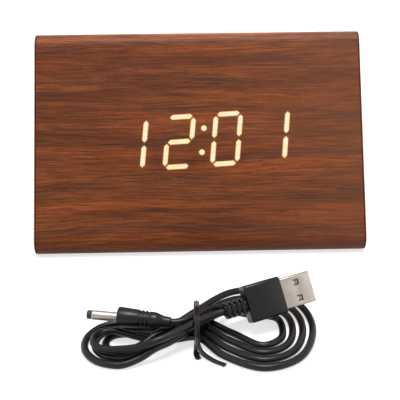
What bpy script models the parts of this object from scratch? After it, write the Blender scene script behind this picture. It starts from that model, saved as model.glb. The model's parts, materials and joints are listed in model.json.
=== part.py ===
# Wooden alarm clock shaped as a three-sided bar, with its power lead lying in front of it

import math

import bmesh
import bpy
from mathutils import Matrix, Vector

MM = 0.001

# Case: three mitred boards wrapped in wood-grain film, closed by an end panel at each side
CASE_SIDES = 3
SIDE_ROOM = 11.7 * MM
FACE_MARGIN = 7.5 * MM
EDGE_RADIUS = 6.0 * MM
FILM = 0.5 * MM
BOARD = 5.0 * MM
GAP = 0.3 * MM
END_FILM = 0.5 * MM
END_PANEL = 5.0 * MM
END_INSET = 0.1 * MM
MITRE_GAP = 0.3 * MM
SEAM_ANGLE = math.radians(5.0)
ARC_STEP = math.radians(10.0)
OVERRUN = 1.0 * MM

# Display: one row of four slanted digits, mounted a little askew behind the front film
ROW_RIGHT = 1.8 * MM
ROW_UP = -0.6 * MM
ROW_TILT = math.radians(2.97)
DIGIT_PITCH = 21.62 * MM
DIGIT_WIDTH = 11.3 * MM
DIGIT_HEIGHT = 22.8 * MM
DIGIT_SLANT = math.radians(8.5)
SEGMENT_WIDTH = 2.45 * MM
FLAT_TIP_GAP = 0.6 * MM
UPRIGHT_TIP_GAP = 1.0 * MM
DOT_DIAMETER = 2.85 * MM
DOT_SPREAD = 11.0 * MM
DOT_SIDES = 16
SEGMENT_FLUSH = 0.05 * MM
WINDOW_CLEARANCE = 0.15 * MM
WELL_CLEARANCE = 0.2 * MM
REFLECTOR_SIDE = 8.92 * MM
REFLECTOR_EDGE = 4.6 * MM
REFLECTOR_DEPTH = 7.0 * MM
REFLECTOR_EAR = 9.0 * MM
GUIDE_WEB = 0.7 * MM
GUIDE_INSET = 1.0 * MM
LED_LENGTH = 1.6 * MM
LED_WIDTH = 0.8 * MM
LED_HEIGHT = 0.5 * MM
WINDOW_ROOM = 3.0 * MM
BOARD_SIDE = 4.5 * MM
BOARD_EDGE = 6.0 * MM
CIRCUIT_BOARD = 1.6 * MM
EAR_SCREW_OUT = 6.0 * MM
SCREW_SHANK_RADIUS = 1.0 * MM
SCREW_HOLE_RADIUS = 1.3 * MM
SCREW_HEAD_RADIUS = 2.2 * MM
SCREW_HEAD_HEIGHT = 1.4 * MM
SCREW_BITE = 2.2 * MM
SCREW_TOP_SHARE = 0.7
SCREW_EDGE_SHARE = 0.6
SHOWN_SEGMENTS = ("bc", "abged", "abcdef", "bc")

# Place of each segment, as shares of the digit's width and height, and whether it stands upright
SEGMENT_PLACE_SHARES = {
    "a": (0.0, 0.5, False),
    "b": (0.5, 0.25, True),
    "c": (0.5, -0.25, True),
    "d": (0.0, -0.5, False),
    "e": (-0.5, -0.25, True),
    "f": (-0.5, 0.25, True),
    "g": (0.0, 0.0, False),
}

# Parts on the back of the display board, each with its place on the board
CHIP_SIZE = 9.0 * MM
CHIP_HEIGHT = 1.8 * MM
CHIP_RIGHT = -15.0 * MM
CHIP_UP = 2.0 * MM
CRYSTAL_LENGTH = 8.4 * MM
CRYSTAL_WIDTH = 3.4 * MM
CRYSTAL_HEIGHT = 3.0 * MM
CRYSTAL_RIGHT = 4.0 * MM
CRYSTAL_UP = -9.0 * MM
BUZZER_RADIUS = 6.0 * MM
BUZZER_HEIGHT = 7.5 * MM
BUZZER_PORT_RADIUS = 1.0 * MM
BUZZER_PORT_DEPTH = 2.0 * MM
BUZZER_RIGHT = 36.0 * MM
BUZZER_UP = 3.0 * MM
CAPACITOR_RADIUS = 2.5 * MM
CAPACITOR_HEIGHT = 7.0 * MM
CAPACITOR_CROWN = 0.5 * MM
CAPACITOR_RIGHT = -38.0 * MM
CAPACITOR_UP = 6.0 * MM
PLUG_BLOCK_LENGTH = 16.0 * MM
PLUG_BLOCK_WIDTH = 5.0 * MM
PLUG_BLOCK_HEIGHT = 2.5 * MM
DISPLAY_PLUG_RIGHT = -10.0 * MM
DISPLAY_PLUG_UP = 12.0 * MM
RIBBON_WIDTH = 14.0 * MM
RIBBON_THICKNESS = 0.9 * MM
RIBBON_REACH = 6.0 * MM
RIBBON_POINTS = 12

# Rear panel, set into the rear board, with the battery bay moulded behind it
PANEL_SIDE = 21.0 * MM
PANEL_THICKNESS = 2.0 * MM
PANEL_SINK = 0.1 * MM
WELD_OVERLAP = 0.5 * MM
PANEL_LEDGE_SIDE = 8.0 * MM
PANEL_LEDGE_TOP = 1.9 * MM
PANEL_SCREW_SIDE = 4.0 * MM
PANEL_SCREW_EDGE = 4.5 * MM
PANEL_SCREW_LENGTH = 4.0 * MM
PANEL_SCREW_SINK = 0.2 * MM
PANEL_SCREW_HEAD = 0.9 * MM
BAY_EDGE = 4.5 * MM
BAY_WALL = 2.0 * MM
BAY_FLOOR = 1.5 * MM
DOOR_LEDGE = 1.0 * MM
DOOR_THICKNESS = 1.6 * MM
DOOR_NOTCH_RADIUS = 7.0 * MM
DOOR_NOTCH_DEPTH = 4.0 * MM
HOOK_WIDTH = 3.0 * MM
HOOK_REACH = 2.2 * MM
HOOK_ROOT = 0.7 * MM
HOOK_THICKNESS = 0.9 * MM
HOOK_SWING = 3.9 * MM

# Cells side by side, with a spring at each negative end
CELL_COUNT = 3
CELL_RADIUS = 5.25 * MM
CELL_LENGTH = 44.5 * MM
CELL_NUB_RADIUS = 1.9 * MM
CELL_NUB_HEIGHT = 0.9 * MM
CELL_CROWN = 0.6 * MM
CELL_PITCH = 10.9 * MM
CELL_SIDES = 20
CELL_SIDE_ROOM = 0.55 * MM
CELL_TOP_ROOM = 0.5 * MM
SPRING_ROOM = 4.6 * MM
HOOK_RIGHT = CELL_PITCH / 2.0
CONTACT_THICKNESS = 0.4 * MM
CONTACT_TOP = 5.2 * MM
CONTACT_HEIGHT = 6.4 * MM
CONTACT_WIDTH = 8.4 * MM
SPRING_RADIUS = 3.2 * MM
SPRING_WIRE_RADIUS = 0.35 * MM
SPRING_TURNS = 2.5
SPRING_POINTS_PER_TURN = 8

# Buttons, their switches and the small board that carries them
CONTROL_ABOVE_BAY = 9.6 * MM
CONTROL_EDGE = 10.1 * MM
BUTTON_RIGHT = (-8.0 * MM, 9.0 * MM, 26.0 * MM)
BUTTON_RADIUS = 4.0 * MM
BUTTON_CROWN = 0.3 * MM
BUTTON_PROUD = 1.0 * MM
BUTTON_CLEARANCE = 0.3 * MM
BUTTON_FLANGE_RADIUS = 5.0 * MM
BUTTON_FLANGE_HEIGHT = 0.8 * MM
BUTTON_STEM_RADIUS = 1.5 * MM
BUTTON_STEM_LENGTH = 2.4 * MM
SWITCH_SIZE = 6.2 * MM
SWITCH_HEIGHT = 2.7 * MM
SWITCH_WELL_RADIUS = 1.9 * MM
SWITCH_WELL_DEPTH = 1.6 * MM
CONTROL_BOARD_LEFT = -26.5 * MM
CONTROL_BOARD_RIGHT = 44.0 * MM
CONTROL_BOARD_HEIGHT = 14.0 * MM
CONTROL_BOARD_TOP = 8.2 * MM
BOSS_RIGHT = (-20.0 * MM, 38.0 * MM)
BOSS_RADIUS = 2.5 * MM
CONTROL_PLUG_RIGHT = 8.8 * MM
WIRE_RADIUS = 0.6 * MM
WIRE_RIGHT = 20.0 * MM
WIRE_DEPTH = 12.6 * MM
WIRE_RISE = 3.6 * MM
WIRE_POINTS = 6

# Power socket
JACK_RIGHT = -36.0 * MM
JACK_BODY = 8.0 * MM
JACK_DEPTH = 11.0 * MM
JACK_NOSE_RADIUS = 3.1 * MM
JACK_BORE_RADIUS = 1.85 * MM
JACK_BORE_DEPTH = 10.5 * MM
JACK_PIN_RADIUS = 0.55 * MM
JACK_PIN_LENGTH = 9.0 * MM
JACK_CLEARANCE = 0.3 * MM

# Power lead, a thin round cable, tied in a figure of eight
CORD_DIAMETER = 2.8 * MM
CORD_GAP = 0.6 * MM
CORD_LIFT = CORD_DIAMETER + CORD_GAP
HANK_TURNS = 4
HANK_POINTS_PER_TURN = 24
HANK_TURN_WEIGHT = 8.0 * MM
HANK_SAMPLES = 12
TIE_RAISE = 1.2 * MM
FOLD_STEPS = 5

# Routes of the lead, in millimetres, chosen by hand; a height counts the cords lain on
WAIST_RIGHT = -2.7
WAIST_SPAN = 12.0

# First turn, which lies on the others: over the waist and down to its left end
FIRST_RUN = ((WAIST_RIGHT, -119.4, 2.1), (-13.0, -127.5, 2.25), (-18.0, -130.0, 2.1), (-24.0, -130.6, 1.5))
FIRST_FOLD = (-34.9, -123.2, 6.1)
FIRST_FOLD_HEIGHT = 1.0
FIRST_RETURN = ((-20.5, -118.4, 0.02), (-12.0, -118.9, 0.0), (WAIST_RIGHT, -119.2, 0.0))

# Later turns: place in the first of them, step to the next, and height
LEFT_RUN = ((WAIST_RIGHT, -106.4, 0.0, -5.0, 1.0), (-13.0, -116.4, 0.0, -4.6, 1.05),
            (-18.0, -120.6, 0.0, -4.4, 1.08), (-24.0, -124.4, 0.0, -4.0, 0.4))
LEFT_FOLD = (-31.0, -120.4, 5.9)
LEFT_FOLD_STEP = 3.95
LEFT_RETURN = ((-20.0, -115.0, 0.0, 3.6, 0.0), (-11.0, -115.1, 0.0, 3.9, 0.0),
               (WAIST_RIGHT, -114.8, 0.0, 4.3, 0.0))

# Right lobe of every turn, from the outermost to the innermost
RIGHT_LOBE = ((6.6, -129.4, 1.2, 4.9, 0.0), (21.0, -137.2, 0.2, 4.5, 0.0), (34.5, -131.4, -2.0, 3.9, 0.0),
              (41.8, -112.5, -3.9, -0.1, 0.0), (38.3, -95.0, -3.3, -3.4, 0.0), (26.0, -84.6, -1.9, -6.2, 0.0))
LOBE_RETURN = (12.0, -89.5, -0.2, -6.0, 0.75)
LAST_RETURN_HEIGHT = 1.4
LAST_RUN = ((3.5, -109.8, 2.15), (WAIST_RIGHT, -114.8, 2.1))

# Plug at the computer end: its rear's place in millimetres, and how it lies in degrees
USB_REAR = (7.7, -113.6, 10.1)
USB_TURN = 20.9
USB_DIP = -4.3
USB_ROLL = 56.8
USB_BLOCK_WIDTH = 14.4 * MM
USB_BLOCK_HEIGHT = 7.0 * MM
USB_BLOCK_LENGTH = 15.0 * MM
USB_BLOCK_EDGE = 1.2 * MM
USB_RELIEF_LENGTH = 9.0 * MM
USB_RELIEF_WIDTH = 6.2 * MM
USB_RELIEF_HEIGHT = 5.0 * MM
USB_RELIEF_WAIST = 4.4 * MM
USB_RIBS = 4
USB_RIB_SHARES = (0.25, 0.75, 0.85, 1.15)
USB_SHELL_WIDTH = 12.0 * MM
USB_SHELL_HEIGHT = 4.5 * MM
USB_SHELL_LENGTH = 12.3 * MM
USB_SHELL_WALL = 0.35 * MM
USB_SHELL_EDGE = 0.5 * MM
USB_WINDOW = 2.3 * MM
USB_WINDOW_RIGHT = 3.1 * MM
USB_WINDOW_FROM_TIP = 6.1 * MM
USB_TONGUE_HEIGHT = 1.5 * MM
USB_TONGUE_SETBACK = 0.6 * MM
USB_CONTACTS = 4
USB_CONTACT_WIDTH = 1.1 * MM
USB_CONTACT_LENGTH = 7.5 * MM
USB_CONTACT_HEIGHT = 0.2 * MM
USB_CONTACT_PITCH = 2.3 * MM

# Plug at the clock end
DC_REAR = (-12.4, -119.2, 9.5)
DC_TURN = 172.3
DC_DIP = -2.4
DC_RELIEF_LENGTH = 5.2 * MM
DC_RELIEF_SHARE = 0.9
DC_GRIP_LENGTH = 14.8 * MM
DC_GRIP_REAR_RADIUS = 3.1 * MM
DC_GRIP_RADIUS = 4.0 * MM
DC_RELIEF_RADIUS = 2.4 * MM
DC_END_RADIUS = 1.8 * MM
DC_RINGS = 3
DC_RING_FIRST = 2.6 * MM
DC_RING_PITCH = 1.5 * MM
DC_RING_DEPTH = 0.35 * MM
DC_BARREL_RADIUS = 1.75 * MM
DC_BARREL_BORE = 1.1 * MM
DC_BARREL_LENGTH = 9.6 * MM
DC_SLEEVE_RADIUS = 0.8 * MM
DC_SLEEVE_BORE = 0.5 * MM
DC_TIP_RADIUS = 1.65 * MM
DC_TIP_LENGTH = 1.5 * MM
LEAD_POINTS = 5
LEAD_STRAIGHT = 0.9 * MM

# Twist tie: its loop across the waist as depth and height, and its two tails, in millimetres
TIE_WIDTH = 2.2 * MM
TIE_THICKNESS = 0.8 * MM
TIE_SAMPLES = 3
TIE_LOOP = ((-119.0, 0.5), (-112.5, 0.5), (-106.2, 0.5), (-103.9, 1.8), (-102.2, 4.8), (-102.7, 7.8),
            (-106.6, 9.5), (-110.2, 10.8), (-113.6, 11.9), (-117.2, 12.15), (-120.6, 12.0), (-122.4, 10.4),
            (-122.75, 6.2), (-122.6, 2.9), (-121.7, 0.8))
LONG_TAIL = ((-2.7, -122.5, 4.8), (-2.6, -124.8, 3.2), (-1.4, -127.0, 1.6), (2.6, -131.0, 0.7),
             (7.2, -134.4, 0.7))
SHORT_TAIL = ((-2.7, -122.6, 2.8), (-3.0, -124.9, 1.3), (-3.1, -127.2, 0.7), (-2.4, -130.2, 0.7))

SMALL_SIDES = 12
ROUND_SIDES = 20

# Sizes that follow from the ones above: the display sets the case's width
REFLECTOR_WIDTH = (len(SHOWN_SEGMENTS) - 1) * DIGIT_PITCH + DIGIT_WIDTH + 2.0 * REFLECTOR_SIDE
REFLECTOR_HEIGHT = DIGIT_HEIGHT + 2.0 * REFLECTOR_EDGE
EAR_SCREW_RIGHT = REFLECTOR_WIDTH / 2.0 + EAR_SCREW_OUT
DISPLAY_BOARD_WIDTH = 2.0 * (EAR_SCREW_RIGHT + BOARD_SIDE)
DISPLAY_BOARD_HEIGHT = REFLECTOR_HEIGHT + 2.0 * BOARD_EDGE
CASE_WIDTH = DISPLAY_BOARD_WIDTH + 2.0 * (SIDE_ROOM + END_PANEL + GAP + END_FILM)

# The cells set the bay's size, and with the buttons above it the panel's and the face's height
PANEL_BACK = PANEL_SINK + PANEL_THICKNESS
DOOR_BACK = PANEL_SINK + DOOR_THICKNESS
BAY_WIDTH = (CELL_COUNT - 1) * CELL_PITCH + 2.0 * (CELL_RADIUS + CELL_SIDE_ROOM)
BAY_LENGTH = CELL_LENGTH + SPRING_ROOM + 2.0 * (GAP + CONTACT_THICKNESS) + GAP
BAY_DEPTH = DOOR_BACK + CELL_TOP_ROOM + 2.0 * CELL_RADIUS + GAP
PANEL_WIDTH = CASE_WIDTH - 2.0 * PANEL_SIDE
PANEL_HEIGHT = BAY_EDGE + BAY_LENGTH + CONTROL_ABOVE_BAY + CONTROL_EDGE
PANEL_SCREW_RIGHT = PANEL_WIDTH / 2.0 - PANEL_SCREW_SIDE
PANEL_SCREW_UP = PANEL_HEIGHT / 2.0 - PANEL_SCREW_EDGE
BAY_LOW = BAY_EDGE - PANEL_HEIGHT / 2.0
BAY_HIGH = BAY_LOW + BAY_LENGTH
BAY_UP = (BAY_LOW + BAY_HIGH) / 2.0
CONTROL_UP = PANEL_HEIGHT / 2.0 - CONTROL_EDGE
FACE_FLAT = PANEL_HEIGHT + 2.0 * FACE_MARGIN

CORNER_TURN = 2.0 * math.pi / CASE_SIDES
HALF_TURN = CORNER_TURN / 2.0
CORNER_OUT = FACE_FLAT / (2.0 * math.sin(HALF_TURN))
INRADIUS = CORNER_OUT * math.cos(HALF_TURN) + EDGE_RADIUS
FACE_ANGLES = {"front": math.radians(150.0), "rear": math.radians(30.0), "base": math.radians(270.0)}
BOARD_TOP = FILM + GAP
BOARD_BACK = BOARD_TOP + BOARD
BOARD_END = CASE_WIDTH / 2.0 - END_FILM - GAP

REFLECTOR_BACK = BOARD_TOP + REFLECTOR_DEPTH
GUIDE_TOP = REFLECTOR_BACK + GAP
GUIDE_BACK = GUIDE_TOP + GUIDE_WEB
DISPLAY_BOARD_TOP = GUIDE_BACK + GAP + LED_HEIGHT
DISPLAY_BOARD_BACK = DISPLAY_BOARD_TOP + CIRCUIT_BOARD

LEDGE_TOP = DOOR_BACK + GAP
DOOR_WIDTH = BAY_WIDTH + 2.0 * (DOOR_LEDGE - GAP)
DOOR_LENGTH = BAY_LENGTH + 2.0 * (DOOR_LEDGE - GAP)
HINGE_UP = BAY_UP - DOOR_LENGTH / 2.0 + DOOR_THICKNESS / 2.0
HINGE_DEPTH = PANEL_SINK + DOOR_THICKNESS / 2.0
FLANGE_TOP = PANEL_BACK + GAP
STEM_END = FLANGE_TOP + BUTTON_FLANGE_HEIGHT + BUTTON_STEM_LENGTH
CONTROL_BOARD_BACK = CONTROL_BOARD_TOP + CIRCUIT_BOARD
CORD_RADIUS = CORD_DIAMETER / 2.0


def finished(name, colour, roughness, metallic=0.0):
    material = bpy.data.materials.new(name + "_finish")
    material.use_nodes = True
    shader = material.node_tree.nodes["Principled BSDF"]
    shader.inputs["Base Color"].default_value = (*colour, 1.0)
    shader.inputs["Roughness"].default_value = roughness
    shader.inputs["Metallic"].default_value = metallic
    material.diffuse_color = (*colour, 1.0)
    return material


def frame(name, location, rotation=(0.0, 0.0, 0.0), parent=None):
    empty = bpy.data.objects.new(name, None)
    bpy.context.scene.collection.objects.link(empty)
    empty.parent = parent
    empty.location = location
    empty.rotation_euler = rotation
    return empty


def node(name, shape, look, parent=None, place=(0.0, 0.0, 0.0), round_sides=False):
    # A shape becomes a named solid, with its faces pointing out
    bmesh.ops.recalc_face_normals(shape, faces=shape.faces)
    mesh = bpy.data.meshes.new(name)
    shape.to_mesh(mesh)
    shape.free()
    if round_sides:
        mesh.shade_smooth()
        mesh.set_sharp_from_angle(angle=math.radians(35.0))
    piece = bpy.data.objects.new(name, mesh)
    bpy.context.scene.collection.objects.link(piece)
    piece.parent = parent
    piece.location = place
    if look:
        mesh.materials.append(finished(name, *look))
    return piece


def cutter(name, shape, parent=None, place=(0.0, 0.0, 0.0)):
    piece = node(name, shape, None, parent, place)
    piece.hide_render = True
    piece.display_type = "WIRE"
    return piece


def combine(piece, operation, tool):
    modifier = piece.modifiers.new(tool.name, "BOOLEAN")
    modifier.operation = operation
    modifier.solver = "EXACT"
    modifier.object = tool


def cut(piece, *tools):
    for tool in tools:
        combine(piece, "DIFFERENCE", tool)


def weld(piece, *tools):
    for tool in tools:
        combine(piece, "UNION", tool)


def add_prism(shape, outline, low, high, place=(0.0, 0.0)):
    # An outline in the frame's plane, raised from one depth to another
    ends = []
    for depth in (low, high):
        ends.append([shape.verts.new((place[0] + x, place[1] + y, depth)) for x, y in outline])
    shape.faces.new(ends[0][::-1])
    shape.faces.new(ends[1])
    count = len(outline)
    for index in range(count):
        following = (index + 1) % count
        shape.faces.new((ends[0][index], ends[0][following], ends[1][following], ends[1][index]))
    return shape


def add_box(shape, width, height, low, high, place=(0.0, 0.0)):
    half_width, half_height = width / 2.0, height / 2.0
    outline = [(-half_width, -half_height), (half_width, -half_height),
               (half_width, half_height), (-half_width, half_height)]
    return add_prism(shape, outline, low, high, place)


def circle(radius, sides):
    step = 2.0 * math.pi / sides
    return [(radius * math.cos(step * index), radius * math.sin(step * index)) for index in range(sides)]


def add_turned(shape, profile, sides, place=(0.0, 0.0), closed=False):
    # A profile of radius and height, turned about the frame's upright axis
    rings = []
    for radius, height in profile:
        if radius == 0:
            rings.append([shape.verts.new((*place, height))])
        else:
            rings.append([shape.verts.new((place[0] + x, place[1] + y, height))
                          for x, y in circle(radius, sides)])
    pairs = list(zip(rings, rings[1:]))
    if closed:
        pairs.append((rings[-1], rings[0]))
    for lower, upper in pairs:
        for index in range(sides):
            following = (index + 1) % sides
            corners = [lower[index % len(lower)], lower[following % len(lower)],
                       upper[following % len(upper)], upper[index % len(upper)]]
            distinct = list(dict.fromkeys(corners))
            if len(distinct) > 2:
                shape.faces.new(distinct)
    return shape


def add_sweep(shape, points, across, section, closed=False):
    # A cross-section carried along a path, its first axis kept near a given direction
    rings = []
    count = len(points)
    for index, point in enumerate(points):
        before = points[index - 1] if index or closed else point
        after = points[(index + 1) % count] if index + 1 < count or closed else point
        tangent = (after - before).normalized()
        side = (across - tangent * across.dot(tangent)).normalized()
        rise = tangent.cross(side)
        rings.append([shape.verts.new(point + side * a + rise * b) for a, b in section])
    steps = list(zip(rings, rings[1:]))
    if closed:
        steps.append((rings[-1], rings[0]))
    else:
        shape.faces.new(rings[0][::-1])
        shape.faces.new(rings[-1])
    for lower, upper in steps:
        for index in range(len(section)):
            following = (index + 1) % len(section)
            shape.faces.new((lower[index], lower[following], upper[following], upper[index]))
    return shape


def bezier(start, start_pull, end_pull, end, count):
    points = []
    for index in range(count):
        t = index / (count - 1)
        s = 1.0 - t
        points.append(start * s ** 3 + start_pull * (3.0 * s * s * t)
                      + end_pull * (3.0 * s * t * t) + end * t ** 3)
    return points


def cord(name, points, radius, resolution, look):
    # Round cord along points, its ends closed
    data = bpy.data.curves.new(name, "CURVE")
    data.dimensions = "3D"
    data.bevel_depth = radius
    data.bevel_resolution = resolution
    data.use_fill_caps = True
    spline = data.splines.new("POLY")
    spline.points.add(len(points) - 1)
    for target, point in zip(spline.points, points):
        target.co = (*point, 1.0)
    data.materials.append(finished(name, *look))
    piece = bpy.data.objects.new(name, data)
    bpy.context.scene.collection.objects.link(piece)
    return piece


# Case

def arc_points(centre, radius, start, turn):
    steps = max(1, round(abs(turn) / ARC_STEP))
    return [(centre[0] + radius * math.cos(start + turn * index / steps),
             centre[1] + radius * math.sin(start + turn * index / steps)) for index in range(steps + 1)]


def corner_centre(angle):
    return (CORNER_OUT * math.cos(angle), INRADIUS + CORNER_OUT * math.sin(angle))


CORNERS = {
    "front": corner_centre(math.radians(210.0)),
    "top": corner_centre(math.radians(90.0)),
    "rear": corner_centre(math.radians(-30.0)),
}


def add_along_width(shape, outline, left, right):
    # An outline across the case, run along the case's width
    ends = [[shape.verts.new((x, y, z)) for y, z in outline] for x in (left, right)]
    shape.faces.new(ends[0])
    shape.faces.new(ends[1][::-1])
    for index in range(len(outline)):
        following = (index + 1) % len(outline)
        shape.faces.new((ends[0][index], ends[0][following], ends[1][following], ends[1][index]))
    return shape


def wrap_path(inset):
    # Round the front foot, up the front, over the ridge, down the rear and round the rear foot
    radius = EDGE_RADIUS - inset
    foot_turn = CORNER_TURN - SEAM_ANGLE
    path = arc_points(CORNERS["front"], radius, FACE_ANGLES["base"] - SEAM_ANGLE, -foot_turn)
    path += arc_points(CORNERS["top"], radius, FACE_ANGLES["front"], -CORNER_TURN)
    path += arc_points(CORNERS["rear"], radius, FACE_ANGLES["rear"], -foot_turn)
    return path


def rounded_triangle(inset):
    radius = EDGE_RADIUS - inset
    path = arc_points(CORNERS["front"], radius, FACE_ANGLES["base"], -CORNER_TURN)
    path += arc_points(CORNERS["top"], radius, FACE_ANGLES["front"], -CORNER_TURN)
    path += arc_points(CORNERS["rear"], radius, FACE_ANGLES["rear"], -CORNER_TURN)
    return path


def sharp_triangle(inset):
    reach = 2.0 * (INRADIUS - inset)
    return [(reach * math.cos(math.radians(angle)), INRADIUS + reach * math.sin(math.radians(angle)))
            for angle in (210.0, 90.0, -30.0)]


def board_outline(face):
    # One mitred board: its outer face, half of each rounded edge, and its inner face
    half_gap = MITRE_GAP / 2.0
    radius = EDGE_RADIUS - BOARD_TOP
    turn = HALF_TURN - math.asin(half_gap / radius)
    inner = -BOARD_BACK
    inner_reach = FACE_FLAT / 2.0
    inner_reach += ((inner + EDGE_RADIUS) * math.sin(HALF_TURN) - half_gap) / math.cos(HALF_TURN)
    local = [(along, out - EDGE_RADIUS) for along, out in
             ((FACE_FLAT / 2.0 + radius * math.sin(turn * k / 6.0), radius * math.cos(turn * k / 6.0))
              for k in range(7))]
    local.append((inner_reach, inner))
    local += [(-along, out) for along, out in reversed(local)]
    normal = FACE_ANGLES[face]
    outline = []
    for along, out in local:
        reach = INRADIUS + out
        outline.append((reach * math.cos(normal) + along * math.sin(normal),
                        INRADIUS + reach * math.sin(normal) - along * math.cos(normal)))
    return outline


def build_case(looks):
    wrap = add_along_width(bmesh.new(), wrap_path(0.0) + wrap_path(FILM)[::-1], -BOARD_END, BOARD_END)
    wrap = node("veneer_wrap", wrap, looks["veneer"], round_sides=True)
    base_sheet = bmesh.new()
    half_flat = FACE_FLAT / 2.0
    add_along_width(base_sheet, [(-half_flat, 0.0), (half_flat, 0.0), (half_flat, FILM), (-half_flat, FILM)],
                    -BOARD_END, BOARD_END)
    node("base_sheet", base_sheet, looks["veneer"])
    boards = {}
    for face in FACE_ANGLES:
        shape = add_along_width(bmesh.new(), board_outline(face), -BOARD_END, BOARD_END)
        boards[face] = node(face + "_board", shape, looks["fibreboard"])
    panel_profile = sharp_triangle(BOARD_BACK + GAP)
    film_profile = rounded_triangle(END_INSET)
    for side, sign in (("left", -1.0), ("right", 1.0)):
        shape = add_along_width(bmesh.new(), panel_profile, sign * (BOARD_END - END_PANEL), sign * BOARD_END)
        node(side + "_end_panel", shape, looks["fibreboard"])
        shape = add_along_width(bmesh.new(), film_profile, sign * (BOARD_END + GAP), sign * CASE_WIDTH / 2.0)
        node(side + "_end_veneer", shape, looks["end_veneer"])
    return wrap, boards


# Display

def segment_outline(upright, spread):
    # A bar with pointed ends, grown outwards by the spread
    length = DIGIT_HEIGHT / 2.0 - UPRIGHT_TIP_GAP if upright else DIGIT_WIDTH - FLAT_TIP_GAP
    half = length / 2.0 + spread * math.sqrt(2.0)
    wide = SEGMENT_WIDTH / 2.0 + spread
    outline = [(-half, 0.0), (wide - half, -wide), (half - wide, -wide),
               (half, 0.0), (half - wide, wide), (wide - half, wide)]
    if upright:
        outline = [(-y, x) for x, y in outline]
    return outline


def add_segments(shape, lit, spread, low, high):
    # The lit or the unlit bars of the four digits, slanted as the digits are
    slope = math.tan(DIGIT_SLANT)
    for index, shown in enumerate(SHOWN_SEGMENTS):
        centre = (index - (len(SHOWN_SEGMENTS) - 1) / 2.0) * DIGIT_PITCH
        for letter, (right, up, upright) in SEGMENT_PLACE_SHARES.items():
            if (letter in shown) != lit:
                continue
            place_up = up * DIGIT_HEIGHT
            outline = [(centre + right * DIGIT_WIDTH + x + (place_up + y) * slope, place_up + y)
                       for x, y in segment_outline(upright, spread)]
            add_prism(shape, outline, low, high)
    return shape


def add_dots(shape, spread, low, high):
    slope = math.tan(DIGIT_SLANT)
    for up in (-DOT_SPREAD / 2.0, DOT_SPREAD / 2.0):
        add_prism(shape, circle(DOT_DIAMETER / 2.0 + spread, DOT_SIDES), low, high, (up * slope, up))
    return shape


def add_leds(shape):
    # One under each segment and dot, sunk a little into the board that carries them
    slope = math.tan(DIGIT_SLANT)
    low, high = -DISPLAY_BOARD_TOP - WELD_OVERLAP, LED_HEIGHT - DISPLAY_BOARD_TOP
    for index in range(len(SHOWN_SEGMENTS)):
        centre = (index - (len(SHOWN_SEGMENTS) - 1) / 2.0) * DIGIT_PITCH
        for right, up, upright in SEGMENT_PLACE_SHARES.values():
            width, height = (LED_WIDTH, LED_LENGTH) if upright else (LED_LENGTH, LED_WIDTH)
            place_up = up * DIGIT_HEIGHT
            place_right = centre + right * DIGIT_WIDTH + place_up * slope
            add_box(shape, width, height, low, high, (place_right, place_up))
    for up in (-DOT_SPREAD / 2.0, DOT_SPREAD / 2.0):
        add_box(shape, LED_LENGTH, LED_WIDTH, low, high, (up * slope, up))
    return shape


def screw_profile(head_radius, head_height, shank_radius, shank_length):
    # Head below the seat at zero, shank above it
    return [(0.0, -head_height), (head_radius * SCREW_TOP_SHARE, -head_height),
            (head_radius, -head_height * SCREW_EDGE_SHARE),
            (head_radius, 0.0), (shank_radius, 0.0), (shank_radius, shank_length), (0.0, shank_length)]


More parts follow.
